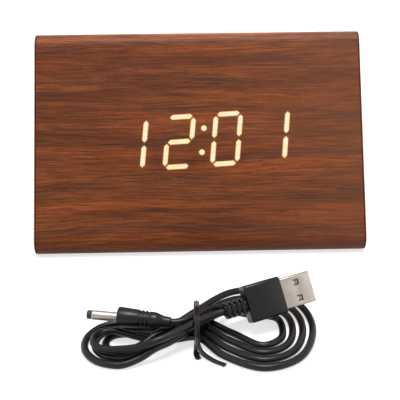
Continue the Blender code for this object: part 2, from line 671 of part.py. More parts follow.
def build_display(looks, wrap, front_board, front, display):
    windows = add_segments(bmesh.new(), True, WINDOW_CLEARANCE, -FILM - OVERRUN, OVERRUN)
    add_dots(windows, WINDOW_CLEARANCE, -FILM - OVERRUN, OVERRUN)
    cut(wrap, cutter("segment_windows", windows, display))
    opening = add_box(bmesh.new(), REFLECTOR_WIDTH + 2.0 * WINDOW_ROOM, REFLECTOR_HEIGHT + 2.0 * WINDOW_ROOM,
                      -BOARD_BACK - OVERRUN, OVERRUN, (ROW_RIGHT, ROW_UP))
    pilot_holes = bmesh.new()
    board_holes = bmesh.new()
    tip = BOARD_BACK - SCREW_BITE
    screw_seat = DISPLAY_BOARD_BACK + GAP
    profile = screw_profile(SCREW_HEAD_RADIUS, SCREW_HEAD_HEIGHT, SCREW_SHANK_RADIUS, screw_seat - tip)
    for side, right in (("left", -EAR_SCREW_RIGHT), ("right", EAR_SCREW_RIGHT)):
        add_prism(pilot_holes, circle(SCREW_HOLE_RADIUS, SMALL_SIDES), -BOARD_BACK - OVERRUN, -tip + GAP,
                  (right, 0.0))
        add_prism(board_holes, circle(SCREW_HOLE_RADIUS, SMALL_SIDES),
                  -DISPLAY_BOARD_BACK - OVERRUN, -BOARD_BACK + OVERRUN, (right, 0.0))
        node("display_screw_" + side, add_turned(bmesh.new(), profile, SMALL_SIDES), looks["screw"], display,
             (right, 0.0, -screw_seat), round_sides=True)
    board_holes = cutter("display_screw_holes", board_holes, display)
    cut(front_board, cutter("display_opening", opening, front),
        cutter("display_pilot_holes", pilot_holes, display))

    block = node("reflector_block",
                 add_box(bmesh.new(), REFLECTOR_WIDTH, REFLECTOR_HEIGHT, -REFLECTOR_BACK, -BOARD_TOP),
                 looks["reflector"], display)
    ears = bmesh.new()
    ear_width = EAR_SCREW_RIGHT + REFLECTOR_EAR / 2.0 - REFLECTOR_WIDTH / 2.0 + WELD_OVERLAP
    ear_right = REFLECTOR_WIDTH / 2.0 - WELD_OVERLAP + ear_width / 2.0
    for right in (-ear_right, ear_right):
        add_box(ears, ear_width, REFLECTOR_EAR, -DISPLAY_BOARD_TOP + GAP, -BOARD_BACK - GAP, (right, 0.0))
    wells = bmesh.new()
    for lit in (True, False):
        add_segments(wells, lit, WELL_CLEARANCE, -REFLECTOR_BACK - OVERRUN, OVERRUN)
    add_dots(wells, WELL_CLEARANCE, -REFLECTOR_BACK - OVERRUN, OVERRUN)
    weld(block, cutter("reflector_ears", ears, display))
    cut(block, cutter("reflector_wells", wells, display), board_holes)

    web_width, web_height = REFLECTOR_WIDTH - 2.0 * GUIDE_INSET, REFLECTOR_HEIGHT - 2.0 * GUIDE_INSET
    guide = node("light_guide", add_box(bmesh.new(), web_width, web_height, -GUIDE_BACK, -GUIDE_TOP),
                 looks["light_guide"], display)
    foot = -GUIDE_TOP - GUIDE_WEB / 2.0
    bars = add_segments(bmesh.new(), True, 0.0, foot, -SEGMENT_FLUSH)
    add_segments(bars, False, 0.0, foot, -BOARD_TOP)
    add_dots(bars, 0.0, foot, -SEGMENT_FLUSH)
    weld(guide, cutter("guide_bars", bars, display))

    board = node("display_board",
                 add_box(bmesh.new(), DISPLAY_BOARD_WIDTH, DISPLAY_BOARD_HEIGHT,
                         -DISPLAY_BOARD_BACK, -DISPLAY_BOARD_TOP), looks["circuit_board"], display)
    cut(board, board_holes)
    weld(board, cutter("segment_leds", add_leds(bmesh.new()), display))
    build_board_parts(looks, display)


def build_board_parts(looks, display):
    seat = -DISPLAY_BOARD_BACK - GAP
    node("control_chip", add_box(bmesh.new(), CHIP_SIZE, CHIP_SIZE, seat - CHIP_HEIGHT, seat,
                                 (CHIP_RIGHT, CHIP_UP)), looks["chip"], display)
    half = CRYSTAL_LENGTH / 2.0
    round_end = CRYSTAL_WIDTH / 2.0
    can = arc_points((half - round_end, 0.0), round_end, -math.pi / 2.0, math.pi)
    can += arc_points((round_end - half, 0.0), round_end, math.pi / 2.0, math.pi)
    node("timing_crystal", add_prism(bmesh.new(), can, seat - CRYSTAL_HEIGHT, seat,
                                     (CRYSTAL_RIGHT, CRYSTAL_UP)), looks["tin"], display, round_sides=True)
    low = seat - BUZZER_HEIGHT
    buzzer = [(0.0, low + BUZZER_PORT_DEPTH), (BUZZER_PORT_RADIUS, low + BUZZER_PORT_DEPTH),
              (BUZZER_PORT_RADIUS, low), (BUZZER_RADIUS, low), (BUZZER_RADIUS, seat), (0.0, seat)]
    node("buzzer", add_turned(bmesh.new(), buzzer, ROUND_SIDES, (BUZZER_RIGHT, BUZZER_UP)),
         looks["black_plastic"], display, round_sides=True)
    low = seat - CAPACITOR_HEIGHT
    capacitor = [(0.0, low), (CAPACITOR_RADIUS - CAPACITOR_CROWN, low),
                 (CAPACITOR_RADIUS, low + CAPACITOR_CROWN), (CAPACITOR_RADIUS, seat), (0.0, seat)]
    node("capacitor", add_turned(bmesh.new(), capacitor, SMALL_SIDES, (CAPACITOR_RIGHT, CAPACITOR_UP)),
         looks["capacitor"], display, round_sides=True)
    node("display_connector", add_box(bmesh.new(), PLUG_BLOCK_LENGTH, PLUG_BLOCK_WIDTH,
                                      seat - PLUG_BLOCK_HEIGHT, seat, (DISPLAY_PLUG_RIGHT, DISPLAY_PLUG_UP)),
         looks["white_plastic"], display)


# Rear panel, door and cells

def build_rear_panel(looks, rear_board, wrap, rear):
    opening = add_box(bmesh.new(), PANEL_WIDTH + 2.0 * GAP, PANEL_HEIGHT + 2.0 * GAP,
                      -PANEL_BACK - GAP, OVERRUN)
    rebate = cutter("panel_rebate", opening, rear)
    through = add_box(bmesh.new(), PANEL_WIDTH - 2.0 * PANEL_LEDGE_SIDE,
                      PANEL_HEIGHT - 2.0 * PANEL_LEDGE_TOP, -BOARD_BACK - OVERRUN, OVERRUN)
    pilot_holes = bmesh.new()
    panel_holes = bmesh.new()
    head_seat = -PANEL_SINK - PANEL_SCREW_SINK - PANEL_SCREW_HEAD
    profile = screw_profile(SCREW_HEAD_RADIUS, PANEL_SCREW_HEAD, SCREW_SHANK_RADIUS, PANEL_SCREW_LENGTH)
    places = [(right, up) for right in (-PANEL_SCREW_RIGHT, PANEL_SCREW_RIGHT)
              for up in (-PANEL_SCREW_UP, PANEL_SCREW_UP)]
    for index, place in enumerate(places):
        add_prism(pilot_holes, circle(SCREW_HOLE_RADIUS, SMALL_SIDES),
                  head_seat - PANEL_SCREW_LENGTH - GAP, OVERRUN, place)
        screw = [(radius, -height) for radius, height in profile]
        node("rear_panel_screw_%d" % (index + 1), add_turned(bmesh.new(), screw, SMALL_SIDES),
             looks["screw"], rear, (*place, head_seat), round_sides=True)
        recess = SCREW_HEAD_RADIUS + GAP
        add_turned(panel_holes, [(0.0, OVERRUN), (recess, OVERRUN), (recess, head_seat - GAP),
                                 (SCREW_HOLE_RADIUS, head_seat - GAP),
                                 (SCREW_HOLE_RADIUS, -PANEL_BACK - OVERRUN), (0.0, -PANEL_BACK - OVERRUN)],
                   SMALL_SIDES, place)
    cut(wrap, rebate)
    cut(rear_board, rebate, cutter("panel_opening", through, rear),
        cutter("panel_pilot_holes", pilot_holes, rear))

    panel = node("rear_panel", add_box(bmesh.new(), PANEL_WIDTH, PANEL_HEIGHT, -PANEL_BACK, -PANEL_SINK),
                 looks["black_plastic"], rear)
    bay_body = add_box(bmesh.new(), BAY_WIDTH + 2.0 * BAY_WALL, BAY_LENGTH + 2.0 * BAY_WALL,
                       -BAY_DEPTH - BAY_FLOOR, -PANEL_BACK + WELD_OVERLAP, (0.0, BAY_UP))
    bosses = bmesh.new()
    boss_holes = bmesh.new()
    boss_end = -CONTROL_BOARD_TOP + GAP
    hole_end = boss_end + (CONTROL_BOARD_TOP - PANEL_BACK) - 2.0 * GAP
    for right in BOSS_RIGHT:
        add_prism(bosses, circle(BOSS_RADIUS, SMALL_SIDES), boss_end, -PANEL_BACK + WELD_OVERLAP,
                  (right, CONTROL_UP))
        add_prism(boss_holes, circle(SCREW_HOLE_RADIUS, SMALL_SIDES), boss_end - OVERRUN, hole_end,
                  (right, CONTROL_UP))
    for right in BUTTON_RIGHT:
        add_prism(panel_holes, circle(BUTTON_RADIUS + BUTTON_CLEARANCE, ROUND_SIDES),
                  -PANEL_BACK - OVERRUN, OVERRUN, (right, CONTROL_UP))
    add_prism(panel_holes, circle(JACK_NOSE_RADIUS + JACK_CLEARANCE, ROUND_SIDES),
              -PANEL_BACK - OVERRUN, OVERRUN, (JACK_RIGHT, CONTROL_UP))
    weld(panel, cutter("bay_body", bay_body, rear), cutter("panel_bosses", bosses, rear))
    recess = add_box(bmesh.new(), BAY_WIDTH + 2.0 * DOOR_LEDGE, BAY_LENGTH + 2.0 * DOOR_LEDGE,
                     -LEDGE_TOP, OVERRUN, (0.0, BAY_UP))
    bay = add_box(bmesh.new(), BAY_WIDTH, BAY_LENGTH, -BAY_DEPTH, OVERRUN, (0.0, BAY_UP))
    slots = bmesh.new()
    for right in (-HOOK_RIGHT, HOOK_RIGHT):
        add_box(slots, HOOK_WIDTH + 2.0 * GAP, 2.0 * HOOK_SWING, -HINGE_DEPTH - HOOK_SWING, -LEDGE_TOP,
                (right, HINGE_UP))
    cut(panel, cutter("door_recess", recess, rear), cutter("battery_bay", bay, rear),
        cutter("hook_slots", slots, rear), cutter("panel_holes", panel_holes, rear),
        cutter("boss_holes", boss_holes, rear))


def build_door(looks, rear):
    # The lower edge is half round about the hinge, and two hooks reach under the panel
    half = DOOR_THICKNESS / 2.0
    hinge = frame("door_hinge", (0.0, HINGE_UP, -HINGE_DEPTH), parent=rear)
    reach = DOOR_LENGTH - half
    outline = [(-half * math.sin(math.pi * k / 6.0), -half * math.cos(math.pi * k / 6.0)) for k in range(7)]
    outline += [(reach, half), (reach, -half)]
    leaf = add_along_width(bmesh.new(), outline, -DOOR_WIDTH / 2.0, DOOR_WIDTH / 2.0)
    door = node("battery_door", leaf, looks["black_plastic"], hinge)
    hooks = bmesh.new()
    hook_top = -(LEDGE_TOP + 2.0 * GAP) + HINGE_DEPTH
    for right in (-HOOK_RIGHT, HOOK_RIGHT):
        profile = [(-HOOK_REACH, hook_top - HOOK_THICKNESS), (HOOK_ROOT, hook_top - HOOK_THICKNESS),
                   (HOOK_ROOT, 0.0), (-GAP, 0.0), (-GAP, hook_top), (-HOOK_REACH, hook_top)]
        add_along_width(hooks, profile, right - HOOK_WIDTH / 2.0, right + HOOK_WIDTH / 2.0)
    weld(door, cutter("door_hooks", hooks, hinge))
    notch = add_prism(bmesh.new(), circle(DOOR_NOTCH_RADIUS, ROUND_SIDES), -half - OVERRUN, half + OVERRUN,
                      (0.0, reach + DOOR_NOTCH_RADIUS - DOOR_NOTCH_DEPTH))
    cut(door, cutter("finger_notch", notch, hinge))


def build_cells(looks, rear):
    # Each cell lies up the slope; its positive end is turned the other way from its neighbour's
    plate_low = BAY_LOW + GAP + CONTACT_THICKNESS
    plate_high = BAY_HIGH - GAP - CONTACT_THICKNESS
    depth = -BAY_DEPTH + GAP + CELL_RADIUS
    body = CELL_LENGTH - CELL_NUB_HEIGHT
    profile = [(0.0, 0.0), (CELL_RADIUS - CELL_CROWN, 0.0), (CELL_RADIUS, CELL_CROWN),
               (CELL_RADIUS, body - CELL_CROWN), (CELL_RADIUS - CELL_CROWN, body), (CELL_NUB_RADIUS, body),
               (CELL_NUB_RADIUS, CELL_LENGTH), (0.0, CELL_LENGTH)]
    to_world = rear.matrix_world
    for index in range(CELL_COUNT):
        right = (index - (CELL_COUNT - 1) / 2.0) * CELL_PITCH
        up_turn = -1.0 if index % 2 else 1.0
        tip = plate_high - GAP if up_turn > 0 else plate_low + GAP
        start = tip - up_turn * CELL_LENGTH
        stand = frame("cell_stand_%d" % (index + 1), (right, start, depth),
                      (-up_turn * math.pi / 2.0, 0.0, 0.0), rear)
        node("battery_%d" % (index + 1), add_turned(bmesh.new(), profile, CELL_SIDES), looks["cell"], stand,
             round_sides=True)
        plate = plate_low if up_turn > 0 else plate_high
        first = start - up_turn * (GAP + SPRING_WIRE_RADIUS)
        last = plate + up_turn * (GAP + SPRING_WIRE_RADIUS)
        count = int(SPRING_TURNS * SPRING_POINTS_PER_TURN)
        run = []
        for k in range(count + 1):
            angle = 2.0 * math.pi * SPRING_TURNS * k / count
            run.append(to_world @ Vector((right + SPRING_RADIUS * math.cos(angle),
                                          first + (last - first) * k / count,
                                          depth + SPRING_RADIUS * math.sin(angle))))
        cord("contact_spring_%d" % (index + 1), run, SPRING_WIRE_RADIUS, 0, looks["tin"])
    build_contacts(looks, rear)


def build_contacts(looks, rear):
    # In series: at each end one plate bridges two cells, and one serves a single cell
    outer = (CELL_COUNT - 1) / 2.0 * CELL_PITCH
    bridge = CONTACT_WIDTH + CELL_PITCH
    plates = (("lower_single", BAY_LOW + GAP, -outer, CONTACT_WIDTH),
              ("lower_bridge", BAY_LOW + GAP, outer - CELL_PITCH / 2.0, bridge),
              ("upper_bridge", BAY_HIGH - GAP - CONTACT_THICKNESS, -outer + CELL_PITCH / 2.0, bridge),
              ("upper_single", BAY_HIGH - GAP - CONTACT_THICKNESS, outer, CONTACT_WIDTH))
    for name, low, right, width in plates:
        plate = add_box(bmesh.new(), width, CONTACT_THICKNESS, -CONTACT_TOP - CONTACT_HEIGHT, -CONTACT_TOP,
                        (right, low + CONTACT_THICKNESS / 2.0))
        node("contact_" + name, plate, looks["tin"], rear)


# Buttons, switches and socket

def build_controls(looks, rear, display):
    switch_top = -CONTROL_BOARD_TOP + GAP + SWITCH_HEIGHT
    flange_low = -FLANGE_TOP - BUTTON_FLANGE_HEIGHT
    profile = [(0.0, BUTTON_PROUD), (BUTTON_RADIUS - BUTTON_CROWN, BUTTON_PROUD),
               (BUTTON_RADIUS, BUTTON_PROUD - BUTTON_CROWN), (BUTTON_RADIUS, -FLANGE_TOP),
               (BUTTON_FLANGE_RADIUS, -FLANGE_TOP), (BUTTON_FLANGE_RADIUS, flange_low),
               (BUTTON_STEM_RADIUS, flange_low), (BUTTON_STEM_RADIUS, -STEM_END), (0.0, -STEM_END)]
    for name, right in zip(("set", "up", "down"), BUTTON_RIGHT):
        place = (right, CONTROL_UP)
        node("button_" + name, add_turned(bmesh.new(), profile, ROUND_SIDES), looks["button"], rear,
             (*place, 0.0), round_sides=True)
        switch = add_box(bmesh.new(), SWITCH_SIZE, SWITCH_SIZE, switch_top - SWITCH_HEIGHT, switch_top, place)
        switch = node("switch_" + name, switch, looks["black_plastic"], rear)
        well = add_prism(bmesh.new(), circle(SWITCH_WELL_RADIUS, SMALL_SIDES),
                         switch_top - SWITCH_WELL_DEPTH, switch_top + OVERRUN, place)
        cut(switch, cutter("switch_well_" + name, well, rear))

    board = bmesh.new()
    width = CONTROL_BOARD_RIGHT - CONTROL_BOARD_LEFT
    centre = (CONTROL_BOARD_RIGHT + CONTROL_BOARD_LEFT) / 2.0
    add_box(board, width, CONTROL_BOARD_HEIGHT, -CONTROL_BOARD_BACK, -CONTROL_BOARD_TOP,
            (centre, CONTROL_UP))
    holes = bmesh.new()
    screw_seat = CONTROL_BOARD_BACK + GAP
    shank = screw_seat - PANEL_BACK - 4.0 * GAP
    profile = screw_profile(SCREW_HEAD_RADIUS, SCREW_HEAD_HEIGHT, SCREW_SHANK_RADIUS, shank)
    for index, right in enumerate(BOSS_RIGHT):
        add_prism(holes, circle(SCREW_HOLE_RADIUS, SMALL_SIDES), -CONTROL_BOARD_BACK - OVERRUN,
                  -CONTROL_BOARD_TOP + OVERRUN, (right, CONTROL_UP))
        node("control_board_screw_%d" % (index + 1), add_turned(bmesh.new(), profile, SMALL_SIDES),
             looks["screw"], rear, (right, CONTROL_UP, -screw_seat), round_sides=True)
    cut(node("control_board", board, looks["circuit_board"], rear), cutter("control_board_holes", holes, rear))
    node("control_connector", add_box(bmesh.new(), PLUG_BLOCK_LENGTH, PLUG_BLOCK_WIDTH,
                                      -screw_seat - PLUG_BLOCK_HEIGHT, -screw_seat,
                                      (CONTROL_PLUG_RIGHT, CONTROL_UP)), looks["white_plastic"], rear)
    build_wiring(looks, rear, display, screw_seat)


def build_wiring(looks, rear, display, screw_seat):
    # Flat ribbon from the display board to the control board, and the pair of wires from the cells
    tip = -DISPLAY_BOARD_BACK - PLUG_BLOCK_HEIGHT - 2.0 * GAP
    start = display.matrix_world @ Vector((DISPLAY_PLUG_RIGHT, DISPLAY_PLUG_UP, tip))
    end = rear.matrix_world @ Vector((CONTROL_PLUG_RIGHT, CONTROL_UP, -screw_seat - PLUG_BLOCK_HEIGHT - GAP))
    inward = -(display.matrix_world.to_3x3() @ Vector((0.0, 0.0, 1.0)))
    outward = rear.matrix_world.to_3x3() @ Vector((0.0, 0.0, 1.0))
    half_width, half_thickness = RIBBON_WIDTH / 2.0, RIBBON_THICKNESS / 2.0
    section = [(-half_width, -half_thickness), (half_width, -half_thickness),
               (half_width, half_thickness), (-half_width, half_thickness)]
    points = bezier(start, start + inward * RIBBON_REACH, end - outward * RIBBON_REACH, end, RIBBON_POINTS)
    ribbon = add_sweep(bmesh.new(), points, Vector((1.0, 0.0, 0.0)), section)
    node("ribbon_cable", ribbon, looks["ribbon"])
    low = Vector((WIRE_RIGHT, BAY_HIGH + BAY_WALL + GAP, -WIRE_DEPTH))
    high = Vector((WIRE_RIGHT, BAY_HIGH + BAY_WALL + GAP + WIRE_RISE, -screw_seat))
    points = bezier(low, low + Vector((0.0, WIRE_RISE / 2.0, 0.0)),
                    high - Vector((0.0, 0.0, WIRE_RISE / 3.0)), high, WIRE_POINTS)
    points = [rear.matrix_world @ point for point in points]
    section = [(-WIRE_RADIUS * 2.0, -WIRE_RADIUS), (WIRE_RADIUS * 2.0, -WIRE_RADIUS),
               (WIRE_RADIUS * 2.0, WIRE_RADIUS), (-WIRE_RADIUS * 2.0, WIRE_RADIUS)]
    pair = add_sweep(bmesh.new(), points, Vector((1.0, 0.0, 0.0)), section)
    node("battery_wires", pair, looks["wire"])


def build_jack(looks, rear):
    seat = -PANEL_BACK - GAP
    place = (JACK_RIGHT, CONTROL_UP)
    jack = node("dc_jack", add_box(bmesh.new(), JACK_BODY, JACK_BODY, seat - JACK_DEPTH, seat, place),
                looks["black_plastic"], rear)
    nose = add_prism(bmesh.new(), circle(JACK_NOSE_RADIUS, ROUND_SIDES), seat - OVERRUN, -PANEL_SINK, place)
    bore = add_prism(bmesh.new(), circle(JACK_BORE_RADIUS, ROUND_SIDES), -PANEL_SINK - JACK_BORE_DEPTH,
                     OVERRUN, place)
    weld(jack, cutter("jack_nose", nose, rear))
    cut(jack, cutter("jack_bore", bore, rear))
    foot = -PANEL_SINK - JACK_BORE_DEPTH + GAP
    tip = foot + JACK_PIN_LENGTH
    pin = [(0.0, foot), (JACK_PIN_RADIUS, foot), (JACK_PIN_RADIUS, tip - JACK_PIN_RADIUS), (0.0, tip)]
    node("dc_jack_pin", add_turned(bmesh.new(), pin, SMALL_SIDES, place), looks["tin"], rear,
         round_sides=True)


# Power lead

def cord_point(x, y, height):
    # Near the waist every cord is raised by the tie that passes under it
    away = min(1.0, abs(x - WAIST_RIGHT) / WAIST_SPAN)
    raised = TIE_RAISE * math.cos(away * math.pi / 2.0) ** 2
    return Vector((x * MM, y * MM, CORD_RADIUS + height * CORD_LIFT + raised))


def fold_points(centre_x, centre_y, radius, height, steps):
    # A half turn round the left end, from the near side to the far side
    return [cord_point(centre_x - radius * math.sin(math.pi * k / steps),
                       centre_y - radius * math.cos(math.pi * k / steps), height) for k in range(steps + 1)]


def hank_route():
    stations = []
    for turn in range(HANK_TURNS):
        if turn == 0:
            stations += [cord_point(*place) for place in FIRST_RUN]
            stations += fold_points(*FIRST_FOLD, FIRST_FOLD_HEIGHT, FOLD_STEPS)
            stations += [cord_point(*place) for place in FIRST_RETURN]
        else:
            order = turn - 1
            stations += [cord_point(x + order * step_x, y + order * step_y, height)
                         for x, y, step_x, step_y, height in LEFT_RUN]
            centre_x, centre_y, radius = LEFT_FOLD
            stations += fold_points(centre_x, centre_y, radius + LEFT_FOLD_STEP * order, 0.0, FOLD_STEPS)
            stations += [cord_point(x + order * step_x, y + order * step_y, height)
                         for x, y, step_x, step_y, height in LEFT_RETURN]
        stations += [cord_point(x + turn * step_x, y + turn * step_y, height)
                     for x, y, step_x, step_y, height in RIGHT_LOBE]
        x, y, step_x, step_y, height = LOBE_RETURN
        if turn == HANK_TURNS - 1:
            height = LAST_RETURN_HEIGHT
        stations.append(cord_point(x + turn * step_x, y + turn * step_y, height))
    stations += [cord_point(*place) for place in LAST_RUN]
    return stations


def smooth_route(stations, samples):
    # Centripetal curve through every station
    ends = [stations[0] * 2.0 - stations[1]] + stations + [stations[-1] * 2.0 - stations[-2]]
    route = []
    for index in range(1, len(ends) - 2):
        p0, p1, p2, p3 = ends[index - 1:index + 3]
        t1 = (p1 - p0).length ** 0.5
        t2 = t1 + (p2 - p1).length ** 0.5
        t3 = t2 + (p3 - p2).length ** 0.5
        for k in range(samples):
            t = t1 + (t2 - t1) * k / samples
            a1 = p0.lerp(p1, t / t1)
            a2 = p1.lerp(p2, (t - t1) / (t2 - t1))
            a3 = p2.lerp(p3, (t - t2) / (t3 - t2))
            b1 = a1.lerp(a2, t / t2)
            b2 = a2.lerp(a3, (t - t1) / (t3 - t1))
            route.append(b1.lerp(b2, (t - t1) / (t2 - t1)))
    route.append(stations[-1].copy())
    return route


def spaced(route, count, turn_weight):
    # Points closer together where the route bends more
    cost = [0.0]
    for index in range(1, len(route)):
        step = route[index] - route[index - 1]
        spent = step.length
        if index > 1:
            spent += turn_weight * step.angle(route[index - 1] - route[index - 2])
        cost.append(cost[-1] + spent)
    points = []
    place = 1
    for k in range(count + 1):
        target = cost[-1] * k / count
        while place < len(route) - 1 and cost[place] < target:
            place += 1
        share = (target - cost[place - 1]) / (cost[place] - cost[place - 1])
        points.append(route[place - 1].lerp(route[place], min(1.0, share)))
    return points


def route_length(points):
    return sum((after - before).length for before, after in zip(points, points[1:]))


def least_gap(points, diameter):
    # Least clear distance between stretches of the cord that aren't neighbours
    places = []
    travelled = 0.0
    for before, after in zip(points, points[1:]):
        length = (after - before).length
        count = max(1, int(length / (diameter / 4.0)))
        for k in range(count):
            places.append((travelled + length * k / count, before.lerp(after, k / count)))
        travelled += length
    apart = diameter * math.pi + diameter
    least = travelled
    for index, (along, place) in enumerate(places):
        for further, other in places[index + 1:]:
            if further - along > apart:
                least = min(least, (other - place).length)
    return least - diameter


def rounded_box_outline(width, height, edge, steps=3):
    outline = []
    for quarter, (right, up) in enumerate(((1, 1), (-1, 1), (-1, -1), (1, -1))):
        centre_x = right * (width / 2.0 - edge)
        centre_y = up * (height / 2.0 - edge)
        for k in range(steps + 1):
            angle = math.pi / 2.0 * (quarter + k / steps)
            outline.append((centre_x + edge * math.cos(angle), centre_y + edge * math.sin(angle)))
    return outline


def add_loft(shape, sections):
    # Outlines with equal counts of points, joined one after another
    rings = [[shape.verts.new((x, y, depth)) for x, y in outline] for outline, depth in sections]
    shape.faces.new(rings[0][::-1])
    shape.faces.new(rings[-1])
    for lower, upper in zip(rings, rings[1:]):
        for index in range(len(lower)):
            following = (index + 1) % len(lower)
            shape.faces.new((lower[index], lower[following], upper[following], upper[index]))
    return shape


def plug_frame(name, rear, turn, dip, roll=0.0):
    # The frame's third axis runs from the plug's rear to its tip, its second leans towards the front
    turn, dip, roll = math.radians(turn), math.radians(dip), math.radians(roll)
    along = Vector((math.cos(turn) * math.cos(dip), math.sin(turn) * math.cos(dip), -math.sin(dip)))
    near = Vector((math.sin(turn), -math.cos(turn), 0.0))
    top = near.cross(along) * math.cos(roll) + near * math.sin(roll)
    side = top.cross(along)
    rotation = Matrix((side, top, along)).transposed().to_euler()
    return frame(name, [value * MM for value in rear], rotation)


def build_usb_plug(looks):
    plug = plug_frame("usb_plug_frame", USB_REAR, USB_TURN, USB_DIP, USB_ROLL)
    waist = rounded_box_outline(USB_RELIEF_WAIST, USB_RELIEF_WAIST, CORD_RADIUS)
    rib = rounded_box_outline(USB_RELIEF_WIDTH, USB_RELIEF_HEIGHT, USB_BLOCK_EDGE)
    block = rounded_box_outline(USB_BLOCK_WIDTH, USB_BLOCK_HEIGHT, USB_BLOCK_EDGE)
    face = rounded_box_outline(USB_BLOCK_WIDTH - USB_BLOCK_EDGE, USB_BLOCK_HEIGHT - USB_BLOCK_EDGE,
                               USB_BLOCK_EDGE)
    sections = [(waist, 0.0)]
    pitch = USB_RELIEF_LENGTH / (USB_RIBS + 1.0 / 2.0)
    for index in range(USB_RIBS):
        places = [pitch * (index + share) for share in USB_RIB_SHARES]
        sections += list(zip((rib, rib, waist, waist), places))
    front = USB_RELIEF_LENGTH + USB_BLOCK_LENGTH
    sections += [(face, USB_RELIEF_LENGTH), (block, USB_RELIEF_LENGTH + USB_BLOCK_EDGE / 2.0),
                 (block, front - USB_BLOCK_EDGE / 2.0), (face, front)]
    node("usb_overmold", add_loft(bmesh.new(), sections), looks["cord"], plug, round_sides=True)

    base = front + GAP
    tip = base + USB_SHELL_LENGTH
    outer = rounded_box_outline(USB_SHELL_WIDTH, USB_SHELL_HEIGHT, USB_SHELL_EDGE)
    shell = add_prism(bmesh.new(), outer, base, tip)
    shell = node("usb_shell", shell, looks["steel"], plug, round_sides=True)
    inner_width = USB_SHELL_WIDTH - 2.0 * USB_SHELL_WALL
    inner_height = USB_SHELL_HEIGHT - 2.0 * USB_SHELL_WALL
    hollow = add_box(bmesh.new(), inner_width, inner_height, base + USB_SHELL_WALL, tip + OVERRUN)
    windows = bmesh.new()
    for right in (-USB_WINDOW_RIGHT, USB_WINDOW_RIGHT):
        low = tip - USB_WINDOW_FROM_TIP - USB_WINDOW / 2.0
        add_box(windows, USB_WINDOW, 2.0 * USB_SHELL_HEIGHT, low, low + USB_WINDOW, (right, 0.0))
    cut(shell, cutter("usb_hollow", hollow, plug), cutter("usb_windows", windows, plug))
    tongue_low = GAP - inner_height / 2.0
    tongue = add_box(bmesh.new(), inner_width - 2.0 * GAP, USB_TONGUE_HEIGHT, base + USB_SHELL_WALL + GAP,
                     tip - USB_TONGUE_SETBACK, (0.0, tongue_low + USB_TONGUE_HEIGHT / 2.0))
    tongue = node("usb_tongue", tongue, looks["white_plastic"], plug)
    contacts = bmesh.new()
    contact_low = tongue_low + USB_TONGUE_HEIGHT - USB_CONTACT_HEIGHT
    for index in range(USB_CONTACTS):
        right = (index - (USB_CONTACTS - 1) / 2.0) * USB_CONTACT_PITCH
        end = tip - 2.0 * USB_TONGUE_SETBACK
        add_box(contacts, USB_CONTACT_WIDTH, 2.0 * USB_CONTACT_HEIGHT, end - USB_CONTACT_LENGTH, end,
                (right, contact_low + USB_CONTACT_HEIGHT))
    weld(tongue, cutter("usb_contacts", contacts, plug))
    return plug


def build_dc_plug(looks):
    plug = plug_frame("dc_plug_frame", DC_REAR, DC_TURN, DC_DIP)
    front = DC_RELIEF_LENGTH + DC_GRIP_LENGTH
    profile = [(0.0, 0.0), (DC_END_RADIUS, 0.0), (DC_RELIEF_RADIUS, DC_RELIEF_LENGTH * DC_RELIEF_SHARE),
               (DC_GRIP_REAR_RADIUS, DC_RELIEF_LENGTH)]

    def grip_radius(height):
        share = (height - DC_RELIEF_LENGTH) / DC_GRIP_LENGTH
        return DC_GRIP_REAR_RADIUS + (DC_GRIP_RADIUS - DC_GRIP_REAR_RADIUS) * share

    for index in range(DC_RINGS):
        start = DC_RELIEF_LENGTH + DC_RING_FIRST + index * DC_RING_PITCH
        step = DC_RING_PITCH / 4.0
        profile += [(grip_radius(start), start), (grip_radius(start) - DC_RING_DEPTH, start + step),
                    (grip_radius(start) - DC_RING_DEPTH, start + 2.0 * step),
                    (grip_radius(start + 3.0 * step), start + 3.0 * step)]
    profile += [(DC_GRIP_RADIUS, front - DC_RING_DEPTH), (DC_GRIP_RADIUS - DC_RING_DEPTH, front),
                (0.0, front)]
    node("dc_plug_grip", add_turned(bmesh.new(), profile, ROUND_SIDES), looks["cord"], plug,
         round_sides=True)
    base = front + GAP
    end = base + DC_BARREL_LENGTH
    barrel = [(DC_BARREL_BORE, base), (DC_BARREL_RADIUS, base), (DC_BARREL_RADIUS, end),
              (DC_BARREL_BORE, end)]
    node("dc_plug_barrel", add_turned(bmesh.new(), barrel, ROUND_SIDES, closed=True), looks["steel"], plug,
         round_sides=True)
    tip = end + GAP + DC_TIP_LENGTH
    sleeve = [(DC_SLEEVE_BORE, base), (DC_SLEEVE_RADIUS, base), (DC_SLEEVE_RADIUS, end + GAP),
              (DC_TIP_RADIUS, end + GAP), (DC_TIP_RADIUS, tip), (DC_SLEEVE_BORE, tip)]
    node("dc_plug_insulator", add_turned(bmesh.new(), sleeve, ROUND_SIDES, closed=True),
         looks["black_plastic"], plug, round_sides=True)
    return plug


def build_tie(looks):
    waist = WAIST_RIGHT * MM
    loop = [Vector((waist, y * MM, z * MM)) for y, z in TIE_LOOP]
    around = smooth_route(loop[-1:] + loop + loop[:2], TIE_SAMPLES)
    around = around[TIE_SAMPLES:-TIE_SAMPLES - 1]
    half_width, half_thickness = TIE_WIDTH / 2.0, TIE_THICKNESS / 2.0
    section = [(-half_width, -half_thickness), (half_width, -half_thickness),
               (half_width, half_thickness), (-half_width, half_thickness)]
    ring = add_sweep(bmesh.new(), around, Vector((1.0, 0.0, 0.0)), section, closed=True)
    tie = node("twist_tie", ring, looks["tie"])
    for name, places in (("long_tail", LONG_TAIL), ("short_tail", SHORT_TAIL)):
        points = [Vector(place) * MM for place in places]
        tail = add_sweep(bmesh.new(), points, Vector((1.0, 0.4, 0.0)), section)
        weld(tie, cutter(name, tail))


